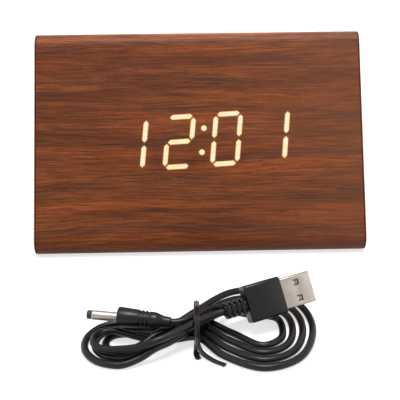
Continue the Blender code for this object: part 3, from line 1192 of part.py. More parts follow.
def build_hank(looks):
    route = smooth_route(hank_route(), HANK_SAMPLES)
    for point in route:
        point.z = max(point.z, CORD_RADIUS)
    points = spaced(route, HANK_TURNS * HANK_POINTS_PER_TURN, HANK_TURN_WEIGHT)
    gap = least_gap(points, CORD_DIAMETER)
    print("hank length %.1f mm, least gap %.2f mm" % (route_length(points) / MM, gap / MM))
    cord("cord_hank", points, CORD_RADIUS, 1, looks["cord"])
    return points


def build_lead(name, looks, plug, end, end_way):
    # From the plug's rear to an end of the hank, straight at first and last, and bent between
    leave_way = -(plug.matrix_world.to_3x3() @ Vector((0.0, 0.0, 1.0)))
    leave = plug.matrix_world.translation + leave_way * GAP
    arrive = end - end_way * GAP
    first = leave + leave_way * LEAD_STRAIGHT
    last = arrive - end_way * LEAD_STRAIGHT
    pull = (last - first).length / 3.0
    bend = bezier(first, first + leave_way * pull, last - end_way * pull, last, LEAD_POINTS)
    points = [leave] + bend + [arrive]
    print("%s length %.1f mm" % (name, route_length(points) / MM))
    cord(name, points, CORD_RADIUS, 2, looks["cord"])


def build_power_lead(looks):
    usb_plug = build_usb_plug(looks)
    dc_plug = build_dc_plug(looks)
    bpy.context.view_layer.update()
    points = build_hank(looks)
    build_lead("usb_lead", looks, usb_plug, points[0], (points[1] - points[0]).normalized())
    build_lead("dc_lead", looks, dc_plug, points[-1], (points[-2] - points[-1]).normalized())
    build_tie(looks)


# Colours in linear light, then roughness and metallic

LOOKS = {
    "veneer": ((0.19, 0.066, 0.038), 0.42, 0.0),
    "end_veneer": ((0.15, 0.052, 0.03), 0.45, 0.0),
    "fibreboard": ((0.38, 0.24, 0.13), 0.85, 0.0),
    "screw": ((0.55, 0.55, 0.53), 0.35, 1.0),
    "reflector": ((0.85, 0.85, 0.83), 0.5, 0.0),
    "light_guide": ((1.0, 0.93, 0.7), 0.4, 0.0),
    "circuit_board": ((0.02, 0.14, 0.05), 0.5, 0.0),
    "chip": ((0.012, 0.012, 0.013), 0.5, 0.0),
    "tin": ((0.6, 0.6, 0.58), 0.3, 1.0),
    "steel": ((0.62, 0.6, 0.56), 0.25, 1.0),
    "black_plastic": ((0.012, 0.012, 0.013), 0.5, 0.0),
    "white_plastic": ((0.82, 0.81, 0.77), 0.45, 0.0),
    "capacitor": ((0.015, 0.02, 0.05), 0.35, 0.0),
    "cell": ((0.05, 0.06, 0.07), 0.35, 0.2),
    "button": ((0.02, 0.02, 0.021), 0.45, 0.0),
    "ribbon": ((0.45, 0.46, 0.47), 0.5, 0.0),
    "wire": ((0.5, 0.02, 0.02), 0.45, 0.0),
    "cord": ((0.014, 0.014, 0.015), 0.5, 0.0),
    "tie": ((0.01, 0.01, 0.011), 0.4, 0.0),
}


def build_clock():
    for thing in list(bpy.data.objects):
        bpy.data.objects.remove(thing, do_unlink=True)
    tilt = math.pi / 2.0 - FACE_ANGLES["rear"]
    front = frame("front_frame", (0.0, -INRADIUS * math.cos(FACE_ANGLES["rear"]),
                                  INRADIUS * (1.0 + math.sin(FACE_ANGLES["rear"]))), (tilt, 0.0, 0.0))
    rear = frame("rear_frame", (0.0, INRADIUS * math.cos(FACE_ANGLES["rear"]),
                                INRADIUS * (1.0 + math.sin(FACE_ANGLES["rear"]))), (tilt, 0.0, math.pi))
    display = frame("display_frame", (ROW_RIGHT, ROW_UP, 0.0), (0.0, 0.0, ROW_TILT), front)
    bpy.context.view_layer.update()
    wrap, boards = build_case(LOOKS)
    build_display(LOOKS, wrap, boards["front"], front, display)
    build_rear_panel(LOOKS, boards["rear"], wrap, rear)
    build_door(LOOKS, rear)
    build_cells(LOOKS, rear)
    build_controls(LOOKS, rear, display)
    build_jack(LOOKS, rear)
    build_power_lead(LOOKS)


build_clock()
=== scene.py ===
# Wooden alarm clock with its tied power lead: finishes, fine pieces, lights and camera
import json
import math

import bmesh
import bpy
from mathutils import Euler, Matrix, Vector


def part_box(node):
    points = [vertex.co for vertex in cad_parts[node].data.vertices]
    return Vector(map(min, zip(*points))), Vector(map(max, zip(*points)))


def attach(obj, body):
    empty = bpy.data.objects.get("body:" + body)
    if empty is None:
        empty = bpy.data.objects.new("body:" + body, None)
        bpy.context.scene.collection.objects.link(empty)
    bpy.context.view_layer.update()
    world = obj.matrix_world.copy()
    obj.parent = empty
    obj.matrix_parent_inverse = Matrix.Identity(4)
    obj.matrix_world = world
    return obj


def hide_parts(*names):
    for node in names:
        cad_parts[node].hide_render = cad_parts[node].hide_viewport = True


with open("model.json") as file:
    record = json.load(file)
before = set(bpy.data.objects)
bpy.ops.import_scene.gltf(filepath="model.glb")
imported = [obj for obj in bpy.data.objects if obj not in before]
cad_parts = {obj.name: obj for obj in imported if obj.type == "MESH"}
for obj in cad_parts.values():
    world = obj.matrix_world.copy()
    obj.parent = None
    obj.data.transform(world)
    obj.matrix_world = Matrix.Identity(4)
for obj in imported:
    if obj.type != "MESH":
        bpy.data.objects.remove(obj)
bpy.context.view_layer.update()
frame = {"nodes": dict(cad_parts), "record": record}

mm = 0.001
nodes = frame["nodes"]
record = frame["record"]
bodyOf = {node: body for body, members in record["behaviour"]["bodies"].items() for node in members}
slotOf = {entry["node"]: entry["material_slot"] for entry in record["subparts"]}


# Small helpers

def hexColour(text):
    parts = [int(text[i:i + 2], 16) / 255 for i in (1, 3, 5)]
    linear = [c / 12.92 if c <= 0.04045 else ((c + 0.055) / 1.055) ** 2.4 for c in parts]
    return (*linear, 1.0)


def addNode(tree, kind, inputs=None, **settings):
    # a node with its settings, its values and its links
    node = tree.nodes.new(kind)
    for name, value in settings.items():
        setattr(node, name, value)
    for socket, value in (inputs or {}).items():
        if isinstance(value, bpy.types.NodeSocket):
            tree.links.new(value, node.inputs[socket])
        else:
            node.inputs[socket].default_value = value
    return node


def newMaterial(name, **values):
    material = bpy.data.materials.new(name)
    material.use_nodes = True
    tree = material.node_tree
    shader = tree.nodes["Principled BSDF"]
    for socket, value in values.items():
        shader.inputs[socket.replace("_", " ")].default_value = value
    return material, tree, shader


def inMillimetres(tree, size):
    # object coordinates, one unit for each feature of that size in millimetres
    place = addNode(tree, "ShaderNodeTexCoord").outputs["Object"]
    scale = [1 / (length * mm) for length in size]
    return addNode(tree, "ShaderNodeVectorMath", {0: place, 1: scale}, operation="MULTIPLY").outputs[0]


def noise(tree, vector, detail=2.0, roughness=0.5, distortion=0.0):
    values = {"Vector": vector, "Scale": 1.0, "Detail": detail, "Roughness": roughness,
              "Distortion": distortion}
    return addNode(tree, "ShaderNodeTexNoise", values).outputs["Fac"]


def stretched(tree, value, low, high, toLow=0.0, toHigh=1.0):
    values = {0: value, 1: low, 2: high, 3: toLow, 4: toHigh}
    return addNode(tree, "ShaderNodeMapRange", values).outputs[0]


def mixed(tree, share, first, second, blend="MIX"):
    node = addNode(tree, "ShaderNodeMix", data_type="RGBA", blend_type=blend)
    for socket, value in ((0, share), (6, first), (7, second)):
        if isinstance(value, bpy.types.NodeSocket):
            tree.links.new(value, node.inputs[socket])
        else:
            node.inputs[socket].default_value = value
    return node.outputs[2]


def bumped(tree, shader, height, depth, strength=1.0):
    node = addNode(tree, "ShaderNodeBump", {"Height": height, "Distance": depth, "Strength": strength})
    tree.links.new(node.outputs[0], shader.inputs["Normal"])


# Case geometry, read from the frame

caseShape = {"edgeRadius": 6.0 * mm, "rowRight": 1.8 * mm, "rowUp": -0.6 * mm, "rowTilt": math.radians(2.97)}
wrapLow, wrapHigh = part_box("veneer_wrap")
caseDepth = wrapHigh[1] - wrapLow[1]
cornerOut = (caseDepth - 2 * caseShape["edgeRadius"]) / math.sqrt(3)
inradius = cornerOut / 2 + caseShape["edgeRadius"]
faceOut = inradius * math.cos(math.radians(30))
faceUp = inradius * 1.5
frontFrame = Matrix.Translation((0, -faceOut, faceUp)) @ Euler((math.radians(60), 0, 0)).to_matrix().to_4x4()
rearTurn = Euler((math.radians(60), 0, math.pi)).to_matrix().to_4x4()
rearFrame = Matrix.Translation((0, faceOut, faceUp)) @ rearTurn
displayFrame = (frontFrame @ Matrix.Translation((caseShape["rowRight"], caseShape["rowUp"], 0))
                @ Matrix.Rotation(caseShape["rowTilt"], 4, "Z"))


# Camera, at the photograph's height and angle

cameraView = {"place": (-4.739 * mm, -370.876 * mm, 174.28 * mm), "down": math.radians(24.573),
              "aside": math.radians(0.824), "roll": math.radians(-0.571), "lens": 72.0, "sensor": 36.0}


def makeCamera():
    down, aside, roll = cameraView["down"], cameraView["aside"], cameraView["roll"]
    ahead = Vector((math.sin(aside) * math.cos(down), math.cos(aside) * math.cos(down), -math.sin(down)))
    side = ahead.cross(Vector((0, 0, 1))).normalized()
    up = side.cross(ahead)
    rolledSide = side * math.cos(roll) + up * math.sin(roll)
    rolledUp = up * math.cos(roll) - side * math.sin(roll)
    data = bpy.data.cameras.new("photoCamera")
    data.lens, data.sensor_width = cameraView["lens"], cameraView["sensor"]
    data.clip_start, data.clip_end = 0.01, 20
    camera = bpy.data.objects.new("photoCamera", data)
    turn = Matrix((rolledSide, rolledUp, -ahead)).transposed().to_4x4()
    camera.matrix_world = Matrix.Translation(cameraView["place"]) @ turn
    bpy.context.scene.collection.objects.link(camera)
    bpy.context.scene.camera = camera


makeCamera()
print("camera ready")


# Power lead: the same route as the model's, in millimetres, a height counting the cords lain on

lead = {"radius": 1.4, "lift": 3.4, "raise": 1.2, "waist": -2.7, "span": 12.0, "turns": 4,
        "firstRun": ((-2.7, -119.4, 2.1), (-13.0, -127.5, 2.25), (-18.0, -130.0, 2.1), (-24.0, -130.6, 1.5)),
        "firstFold": (-34.9, -123.2, 6.1),
        "firstReturn": ((-20.5, -118.4, 0.02), (-12.0, -118.9, 0.0), (-2.7, -119.2, 0.0)),
        "leftRun": ((-2.7, -106.4, 0.0, -5.0, 1.0), (-13.0, -116.4, 0.0, -4.6, 1.05),
                    (-18.0, -120.6, 0.0, -4.4, 1.08), (-24.0, -124.4, 0.0, -4.0, 0.4)),
        "leftFold": (-31.0, -120.4, 5.9), "foldStep": 3.95, "foldSteps": 5,
        "leftReturn": ((-20.0, -115.0, 0.0, 3.6, 0.0), (-11.0, -115.1, 0.0, 3.9, 0.0),
                       (-2.7, -114.8, 0.0, 4.3, 0.0)),
        "rightLobe": ((6.6, -129.4, 1.2, 4.9, 0.0), (21.0, -137.2, 0.2, 4.5, 0.0), (34.5, -131.4, -2.0, 3.9, 0.0),
                      (41.8, -112.5, -3.9, -0.1, 0.0), (38.3, -95.0, -3.3, -3.4, 0.0),
                      (26.0, -84.6, -1.9, -6.2, 0.0)),
        "lobeReturn": (12.0, -89.5, -0.2, -6.0, 0.75), "lastHeight": 1.4,
        "lastRun": ((3.5, -109.8, 2.15), (-2.7, -114.8, 2.1))}
usbPlug = {"rear": (7.7, -113.6, 10.1), "turn": 20.9, "dip": -4.3, "roll": 56.8}
dcPlug = {"rear": (-12.4, -119.2, 9.5), "turn": 172.3, "dip": -2.4, "roll": 0.0}


def leadPoint(x, y, height):
    away = min(1.0, abs(x - lead["waist"]) / lead["span"])
    lifted = lead["raise"] * math.cos(away * math.pi / 2) ** 2
    return Vector((x, y, lead["radius"] + height * lead["lift"] + lifted)) * mm


def foldPoints(centreX, centreY, radius, height):
    turns = [math.pi * k / lead["foldSteps"] for k in range(lead["foldSteps"] + 1)]
    return [leadPoint(centreX - radius * math.sin(a), centreY - radius * math.cos(a), height) for a in turns]


def stepped(places, order):
    return [leadPoint(x + order * stepX, y + order * stepY, height) for x, y, stepX, stepY, height in places]


def hankStations():
    stations = []
    for turn in range(lead["turns"]):
        if turn == 0:
            stations += [leadPoint(*place) for place in lead["firstRun"]]
            stations += foldPoints(*lead["firstFold"], 1.0)
            stations += [leadPoint(*place) for place in lead["firstReturn"]]
        else:
            centreX, centreY, radius = lead["leftFold"]
            stations += stepped(lead["leftRun"], turn - 1)
            stations += foldPoints(centreX, centreY, radius + lead["foldStep"] * (turn - 1), 0.0)
            stations += stepped(lead["leftReturn"], turn - 1)
        stations += stepped(lead["rightLobe"], turn)
        x, y, stepX, stepY, height = lead["lobeReturn"]
        height = lead["lastHeight"] if turn == lead["turns"] - 1 else height
        stations.append(leadPoint(x + turn * stepX, y + turn * stepY, height))
    return stations + [leadPoint(*place) for place in lead["lastRun"]]


def smoothRoute(stations, samples):
    # centripetal curve through the stations
    ends = [stations[0] * 2 - stations[1]] + stations + [stations[-1] * 2 - stations[-2]]
    route = []
    for index in range(1, len(ends) - 2):
        p0, p1, p2, p3 = ends[index - 1:index + 3]
        t1 = (p1 - p0).length ** 0.5
        t2 = t1 + (p2 - p1).length ** 0.5
        t3 = t2 + (p3 - p2).length ** 0.5
        for k in range(samples):
            t = t1 + (t2 - t1) * k / samples
            a1 = p0.lerp(p1, t / t1)
            a2 = p1.lerp(p2, (t - t1) / (t2 - t1))
            a3 = p2.lerp(p3, (t - t2) / (t3 - t2))
            b1 = a1.lerp(a2, t / t2)
            b2 = a2.lerp(a3, (t - t1) / (t3 - t1))
            route.append(b1.lerp(b2, (t - t1) / (t2 - t1)))
    return route + [stations[-1].copy()]


def plugFrame(plug):
    # third axis from the plug's rear to its tip, second axis up and leaning to the front
    turn, dip, roll = (math.radians(plug[name]) for name in ("turn", "dip", "roll"))
    along = Vector((math.cos(turn) * math.cos(dip), math.sin(turn) * math.cos(dip), -math.sin(dip)))
    near = Vector((math.sin(turn), -math.cos(turn), 0))
    top = near.cross(along) * math.cos(roll) + near * math.sin(roll)
    turned = Matrix((top.cross(along), top, along)).transposed().to_4x4()
    return Matrix.Translation(Vector(plug["rear"]) * mm) @ turned


def bezier(start, startPull, endPull, end, count):
    shares = [k / (count - 1) for k in range(count)]
    return [start * (1 - t) ** 3 + startPull * (3 * (1 - t) ** 2 * t) + endPull * (3 * (1 - t) * t * t)
            + end * t ** 3 for t in shares]


leadGap = 0.3 * mm


def leadFrom(plug, end, endWay):
    # from a plug's rear to an end of the hank
    matrix = plugFrame(plug)
    leaveWay = -(matrix.to_3x3() @ Vector((0, 0, 1)))
    leave = matrix.translation + leaveWay * leadGap
    pull = (end - leave).length * 0.4
    return bezier(leave, leave + leaveWay * pull, end - endWay * pull, end, 9)


def leadRoute():
    hank = smoothRoute(hankStations(), 9)
    for point in hank:
        point.z = max(point.z, lead["radius"] * mm)
    start = leadFrom(usbPlug, hank[0], (hank[1] - hank[0]).normalized())
    end = leadFrom(dcPlug, hank[-1], (hank[-2] - hank[-1]).normalized())
    return start[:-1] + hank + end[-2::-1]


cableRoute = leadRoute()
cableLength = sum((b - a).length for a, b in zip(cableRoute, cableRoute[1:]))
print("cable route %.0f mm" % (cableLength / mm))


# Finishes

litRim = {"tones": ((0.1, "#7A4212"), (1.0, "#FFF9E0"), (0.4, "#C98F3C"), (0.65, "#FFDC88"),
                    (0.85, "#FFF2C6"))}
# sway of the grain, and painted light: a painted highlight over the ridge, painted shade at the foot, a painted
# sheen towards one end
swayAndPaintedLight = {"ridge": (86.0 * mm, 88.8 * mm), "ridgeTone": (1.0, 1.8), "foot": (4.0 * mm, 16.0 * mm),
            "footTone": (0.7, 1.0), "paintedSheen": (10.0 * mm, 75.0 * mm), "paintedSheenShare": (0.0, 0.3),
            "sway": 7.0 * mm}
bumpDepth = {"fibres": 0.03 * mm, "sleeve": 0.01 * mm, "tracks": 0.03 * mm, "scratches": 0.002 * mm}


def walnutFilm(name, runs=0, glow=False):
    # walnut-look wood film: long fine fibres along one axis, wavy dark bands, satin
    material, tree, shader = newMaterial(name, Specular_IOR_Level=0.2)
    place = addNode(tree, "ShaderNodeTexCoord").outputs["Object"]
    sway = noise(tree, inMillimetres(tree, (70, 26, 26)), detail=1.0)
    lift = addNode(tree, "ShaderNodeMath", {0: sway, 1: swayAndPaintedLight["sway"]}, operation="MULTIPLY").outputs[0]
    offset = addNode(tree, "ShaderNodeCombineXYZ", {"Z": lift}).outputs[0]
    grain = addNode(tree, "ShaderNodeVectorMath", {0: place, 1: offset}, operation="ADD").outputs[0]

    def grainNoise(along, across, detail=2.0, roughness=0.5, distortion=0.0):
        scale = [1 / ((along if axis == runs else across) * mm) for axis in range(3)]
        vector = addNode(tree, "ShaderNodeVectorMath", {0: grain, 1: scale}, operation="MULTIPLY").outputs[0]
        return noise(tree, vector, detail, roughness, distortion)

    bands = grainNoise(120, 7.0, detail=3.0, distortion=0.5)
    warmth = grainNoise(170, 14)
    ash = grainNoise(75, 4.2, detail=2.0, distortion=0.6)
    streaks = grainNoise(62, 1.3, detail=2.0, roughness=0.6, distortion=0.3)
    strands = grainNoise(40, 0.95, detail=2.0, roughness=0.6)
    fibres = grainNoise(14, 0.5, detail=2.0, roughness=0.65)
    pores = grainNoise(6.0, 0.45, detail=1.0)
    grit = noise(tree, inMillimetres(tree, (0.7, 0.35, 0.35)), detail=1.0)
    colour = mixed(tree, stretched(tree, bands, 0.36, 0.64), hexColour("#5C2D12"), hexColour("#7C421F"))
    colour = mixed(tree, stretched(tree, warmth, 0.48, 0.68, 0.0, 0.75), colour, hexColour("#883F18"))
    colour = mixed(tree, stretched(tree, ash, 0.54, 0.74, 0.0, 0.6), colour, hexColour("#4C2F22"))
    colour = mixed(tree, stretched(tree, streaks, 0.55, 0.76, 0.0, 0.55), colour, hexColour("#3A1C10"))
    for pattern, low, high in ((strands, 0.76, 1.26), (fibres, 0.52, 1.56), (grit, 0.82, 1.18)):
        tone = stretched(tree, pattern, 0.32, 0.68, low, high)
        colour = mixed(tree, 1.0, colour, tone, blend="MULTIPLY")
    colour = mixed(tree, stretched(tree, pores, 0.66, 0.76, 0.0, 0.6), colour, hexColour("#2E170D"))
    # painted light: on the long faces a painted highlight, paler round the ridge, and painted shade, darker at
    # the foot; then a painted sheen, paler towards one end
    height = addNode(tree, "ShaderNodeSeparateXYZ", {0: place})
    for part in () if runs else ("ridge", "foot"):
        tone = stretched(tree, height.outputs["Z"], *swayAndPaintedLight[part], *swayAndPaintedLight[part + "Tone"])
        colour = mixed(tree, 1.0, colour, tone, blend="MULTIPLY")
    # painted sheen: the film mixed towards a paler grey-brown along X, towards one end
    paintedSheen = stretched(tree, height.outputs["X"], *swayAndPaintedLight["paintedSheen"], *swayAndPaintedLight["paintedSheenShare"])
    colour = mixed(tree, paintedSheen, colour, hexColour("#74503E"))
    tree.links.new(colour, shader.inputs["Base Color"])
    tree.links.new(stretched(tree, fibres, 0.3, 0.7, 0.52, 0.4), shader.inputs["Roughness"])
    bumped(tree, shader, fibres, bumpDepth["fibres"], 0.5)
    if glow:
        # light soaks through the film: warm white, golden at each bar's rim, mottled by the grain
        share = addNode(tree, "ShaderNodeAttribute", attribute_name="glow").outputs["Fac"]
        ramp = addNode(tree, "ShaderNodeValToRGB", {0: share})
        for k, (stop, tone) in enumerate(litRim["tones"]):
            element = ramp.color_ramp.elements[k] if k < 2 else ramp.color_ramp.elements.new(stop)
            element.position, element.color = stop, hexColour(tone)
        cloud = noise(tree, inMillimetres(tree, (4.0, 1.2, 1.2)), detail=2.0)
        gold = stretched(tree, cloud, 0.5, 0.75, 0.0, 0.7)
        lit = mixed(tree, gold, ramp.outputs[0], hexColour("#FFE6A6"), blend="MULTIPLY")
        mottle = stretched(tree, fibres, 0.3, 0.7, 0.86, 1.04)
        tree.links.new(mixed(tree, 1.0, lit, mottle, blend="MULTIPLY"), shader.inputs["Emission Color"])
        tree.links.new(stretched(tree, share, 0.1, 0.7, 0.0, 0.95), shader.inputs["Emission Strength"])
        # the film's own colour made darker inside each lit piece's outer edge, which shows as a darker line round
        # each bar
        edge = stretched(tree, share, 0.0, 0.2, 1.0, 0.55)
        tree.links.new(mixed(tree, 1.0, colour, edge, blend="MULTIPLY"), shader.inputs["Base Color"])
    return material


def speckled(name, first, second, size, roughness=(0.4, 0.5), depth=0.01, metallic=0.0, **values):
    # two close tones in grains of a real size, with a roughness and a relief that follow them
    material, tree, shader = newMaterial(name, Metallic=metallic, **values)
    grains = noise(tree, inMillimetres(tree, size), detail=3.0, roughness=0.6)
    tree.links.new(mixed(tree, stretched(tree, grains, 0.3, 0.7), hexColour(first), hexColour(second)),
                   shader.inputs["Base Color"])
    tree.links.new(stretched(tree, grains, 0.3, 0.7, *roughness), shader.inputs["Roughness"])
    bumped(tree, shader, grains, depth * mm)
    return material


def striped(name, colours, axis, pitch, share, roughness):
    # bands of two colours across an axis, as on sleeves and flat ribbon
    material, tree, shader = newMaterial(name, Roughness=roughness)
    place = addNode(tree, "ShaderNodeTexCoord").outputs["Object"]
    along = addNode(tree, "ShaderNodeSeparateXYZ", {0: place}).outputs[axis]
    phase = addNode(tree, "ShaderNodeMath", {0: along, 1: pitch * mm}, operation="FLOORED_MODULO").outputs[0]
    band = addNode(tree, "ShaderNodeMath", {0: phase, 1: pitch * share * mm},
                   operation="LESS_THAN").outputs[0]
    colour = mixed(tree, band, hexColour(colours[0]), hexColour(colours[1]))
    grains = noise(tree, inMillimetres(tree, (0.8, 0.8, 0.8)))
    shade = stretched(tree, grains, 0.2, 0.8, 0.92, 1.06)
    tree.links.new(mixed(tree, 1.0, colour, shade, blend="MULTIPLY"), shader.inputs["Base Color"])
    bumped(tree, shader, grains, bumpDepth["sleeve"])
    return material


def circuitBoard(name):
    # solder mask over copper: green with faint lighter tracks on a 1.3 mm grid
    material, tree, shader = newMaterial(name)
    cells = addNode(tree, "ShaderNodeTexVoronoi", {"Vector": inMillimetres(tree, (1.3, 1.3, 1.3)), "Scale": 1.0},
                    distance="MANHATTAN", feature="F1").outputs["Distance"]
    tracks = stretched(tree, cells, 0.42, 0.5)
    colour = mixed(tree, tracks, hexColour("#0F4A24"), hexColour("#1F6B39"))
    tree.links.new(colour, shader.inputs["Base Color"])
    tree.links.new(stretched(tree, tracks, 0.0, 1.0, 0.35, 0.5), shader.inputs["Roughness"])
    bumped(tree, shader, tracks, bumpDepth["tracks"])
    return material


def shellNickel(name):
    # nickel-plated steel sheet, drawn along the plug: faint long scratches in a warm grey
    material, tree, shader = newMaterial(name, Metallic=1.0)
    marks = noise(tree, inMillimetres(tree, (3.0, 0.25, 0.4)), detail=3.0)
    cloud = noise(tree, inMillimetres(tree, (4, 4, 4)))
    colour = mixed(tree, stretched(tree, cloud, 0.3, 0.7), hexColour("#A0978E"), hexColour("#ABA299"))
    tree.links.new(colour, shader.inputs["Base Color"])
    tree.links.new(stretched(tree, marks, 0.3, 0.7, 0.36, 0.46), shader.inputs["Roughness"])
    bumped(tree, shader, marks, bumpDepth["scratches"])
    return material


def softLight(name):
    # milky acrylic over the lamps, lit from within
    material, tree, shader = newMaterial(name, Roughness=0.35, Emission_Strength=0.8)
    cloud = noise(tree, inMillimetres(tree, (1.5, 1.5, 1.5)))
    colour = mixed(tree, stretched(tree, cloud, 0.2, 0.8), hexColour("#FFE7B5"), hexColour("#FFF6DE"))
    tree.links.new(colour, shader.inputs["Base Color"])
    tree.links.new(colour, shader.inputs["Emission Color"])
    return material


finishes = {
    "wood_film": walnutFilm("walnutFilm"),
    "end_film": walnutFilm("walnutFilm_ends", runs=1),
    # medium-density fibreboard, sawn: pale fibres, quite dull
    "fibreboard": speckled("fibreboard_sawn", "#8C6A48", "#A9855C", (0.9, 0.3, 0.3), (0.8, 0.92), 0.05),
    # white polystyrene, moulded
    "reflector": speckled("polystyrene_white", "#E4E3DE", "#F0EFEA", (0.6, 0.6, 0.6), (0.45, 0.55), 0.01),
    "light_guide": softLight("acrylic_milky"),
    "circuit_board": circuitBoard("solderMask_green"),
    # epoxy chip case: charcoal, finely matt
    "chip": speckled("epoxy_moulded", "#17181A", "#222325", (0.15, 0.15, 0.15), (0.5, 0.62), 0.01),
    # tin-plated steel: bright, slightly clouded
    "tin_plate": speckled("steel_tinPlated", "#BDBBB5", "#D6D4CE", (1.5, 1.5, 1.5), (0.22, 0.34), 0.004, 1.0),
    # ABS moulded against a spark-eroded tool: charcoal with a fine even stipple
    "black_plastic": speckled("abs_stippled", "#1B1B1C", "#252526", (0.35, 0.35, 0.35), (0.5, 0.6), 0.03),
    # ABS buttons, smoother and a little glossier than the panel
    "button": speckled("abs_smooth", "#202021", "#29292A", (0.5, 0.5, 0.5), (0.3, 0.38), 0.008),
    "capacitor_sleeve": striped("sleeve_shrunk", ("#15203C", "#A9ADB5"), "X", 16.0, 0.1, 0.35),
    "white_plastic": speckled("nylon_natural", "#DDDACF", "#E8E6DD", (0.4, 0.4, 0.4), (0.4, 0.5), 0.01),
    # zinc-plated steel screw, pressed: slightly blue and clouded
    "screw": speckled("steel_zincPlated", "#A9ABAD", "#C6C7C6", (0.8, 0.8, 0.8), (0.25, 0.38), 0.006, 1.0),
    # shrunk sleeve of a dry cell: charcoal with a bronze band
    "cell_sleeve": striped("sleeve_cell", ("#26292C", "#8B6A3C"), "Z", 44.0, 0.28, 0.32),
    "ribbon": striped("ribbon_grey", ("#8F9296", "#777A7F"), "X", 1.27, 0.3, 0.5),
    "wire": striped("wire_pair", ("#A41F1C", "#1B1B1C"), "X", 2.4, 0.5, 0.45),
    # soft PVC: near black, even, with a dull satin sheen
    "cord": speckled("pvc_soft", "#070708", "#0D0D0E", (0.5, 0.5, 0.5), (0.27, 0.35), 0.006,
                     Specular_IOR_Level=0.3),
    "plug_metal": shellNickel("nickel_plated"),
    "tie": speckled("pvc_tie", "#070708", "#0E0E0F", (0.4, 0.4, 0.4), (0.27, 0.35), 0.01,
                    Specular_IOR_Level=0.32),
}
litFinish = walnutFilm("walnutFilm_lit", glow=True)
for name, solid in nodes.items():
    for materialSlot in solid.material_slots:
        materialSlot.material = finishes[slotOf[name]]
print("%d finishes on %d nodes" % (len(finishes) + 1, len(nodes)))


# Shapes

def circle(radius, sides):
    return [(radius * math.cos(2 * math.pi * k / sides), radius * math.sin(2 * math.pi * k / sides))
            for k in range(sides)]


def roundedBox(width, height, edge, steps=6):
    outline = []
    for quarter, (right, up) in enumerate(((1, 1), (-1, 1), (-1, -1), (1, -1))):
        for k in range(steps + 1):
            angle = math.pi / 2 * (quarter + k / steps)
            outline.append((right * (width / 2 - edge) + edge * math.cos(angle),
                            up * (height / 2 - edge) + edge * math.sin(angle)))
    return outline


def addLoft(shape, rings, closed=False):
    # rings of points in space, joined one after another, with ends unless closed
    made = [[shape.verts.new(point) for point in ring] for ring in rings]
    pairs = list(zip(made, made[1:]))
    if closed:
        pairs.append((made[-1], made[0]))
    else:
        shape.faces.new(made[0][::-1])
        shape.faces.new(made[-1])
    for lower, upper in pairs:
        for k in range(len(lower)):
            j = (k + 1) % len(lower)
            shape.faces.new((lower[k], lower[j], upper[j], upper[k]))
    return shape


def addPrism(shape, outline, low, high):
    return addLoft(shape, [[(x, y, depth) for x, y in outline] for depth in (low, high)])


def addTurned(shape, profile, sides, closed=False):
    rings = [[(x, y, height) for x, y in circle(max(radius, 0.00001), sides)] for radius, height in profile]
    return addLoft(shape, rings, closed)


def addSweep(shape, points, across, section, closed=False):
    rings = []
    count = len(points)
    for k, point in enumerate(points):
        before = points[k - 1] if k or closed else point
        after = points[(k + 1) % count] if k + 1 < count or closed else point
        tangent = (after - before).normalized()
        side = (across - tangent * across.dot(tangent)).normalized()
        rise = tangent.cross(side)
        rings.append([point + side * a + rise * b for a, b in section])
    return addLoft(shape, rings, closed)


def meshObject(name, shape, matrix=None, tidyNormals=True):
    if matrix is not None:
        bmesh.ops.transform(shape, matrix=matrix, verts=shape.verts)
    if tidyNormals:
        bmesh.ops.recalc_face_normals(shape, faces=shape.faces)
    mesh = bpy.data.meshes.new(name)
    shape.to_mesh(mesh)
    shape.free()
    thing = bpy.data.objects.new(name, mesh)
    bpy.context.scene.collection.objects.link(thing)
    return thing


def applied(thing):
    # modifiers made real, so that a piece is a plain mesh
    bpy.context.view_layer.update()
    evaluated = thing.evaluated_get(bpy.context.evaluated_depsgraph_get())
    mesh = bpy.data.meshes.new_from_object(evaluated)
    thing.modifiers.clear()
    old = thing.data
    thing.data = mesh
    bpy.data.meshes.remove(old)
    mesh.name = thing.name
    return thing


def bevelled(thing, width, segments=2, angle=30.0):
    edge = thing.modifiers.new("edge", "BEVEL")
    edge.width, edge.segments = width, segments
    edge.limit_method, edge.angle_limit = "ANGLE", math.radians(angle)
    edge.use_clamp_overlap = True
    return applied(thing)


def cutAway(thing, *tools):
    for tool in tools:
        cutting = thing.modifiers.new(tool.name, "BOOLEAN")
        cutting.operation, cutting.solver, cutting.object = "DIFFERENCE", "EXACT", tool
    applied(thing)
    for tool in tools:
        bpy.data.objects.remove(tool, do_unlink=True)
    return thing


def finished(thing, finish, stands=(), body="root", smooth=35.0):
    # a finish and smooth faces, then the body it rides on and the nodes it stands for
    thing.data.materials.clear()
    thing.data.materials.append(finish if isinstance(finish, bpy.types.Material) else finishes[finish])
    thing.data.shade_smooth()
    thing.data.set_sharp_from_angle(angle=math.radians(smooth))
    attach(thing, body)
    if stands:
        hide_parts(*stands)
    return thing


def dressed(node, name, width=0.0002, segments=2, smooth=40.0):
    # the node's own solid, its flat faces made whole and its edges softened
    shape = bmesh.new()
    shape.from_mesh(nodes[node].data)
    bmesh.ops.remove_doubles(shape, verts=shape.verts, dist=1e-6)
    bmesh.ops.dissolve_limit(shape, angle_limit=math.radians(0.3), verts=shape.verts, edges=shape.edges)
    thing = meshObject(name, shape, tidyNormals=False)
    if width:
        bevelled(thing, width, segments)
    return finished(thing, slotOf[node], (node,), bodyOf[node], smooth)


# Case: the wrapped film with its windows, its end films and base sheet

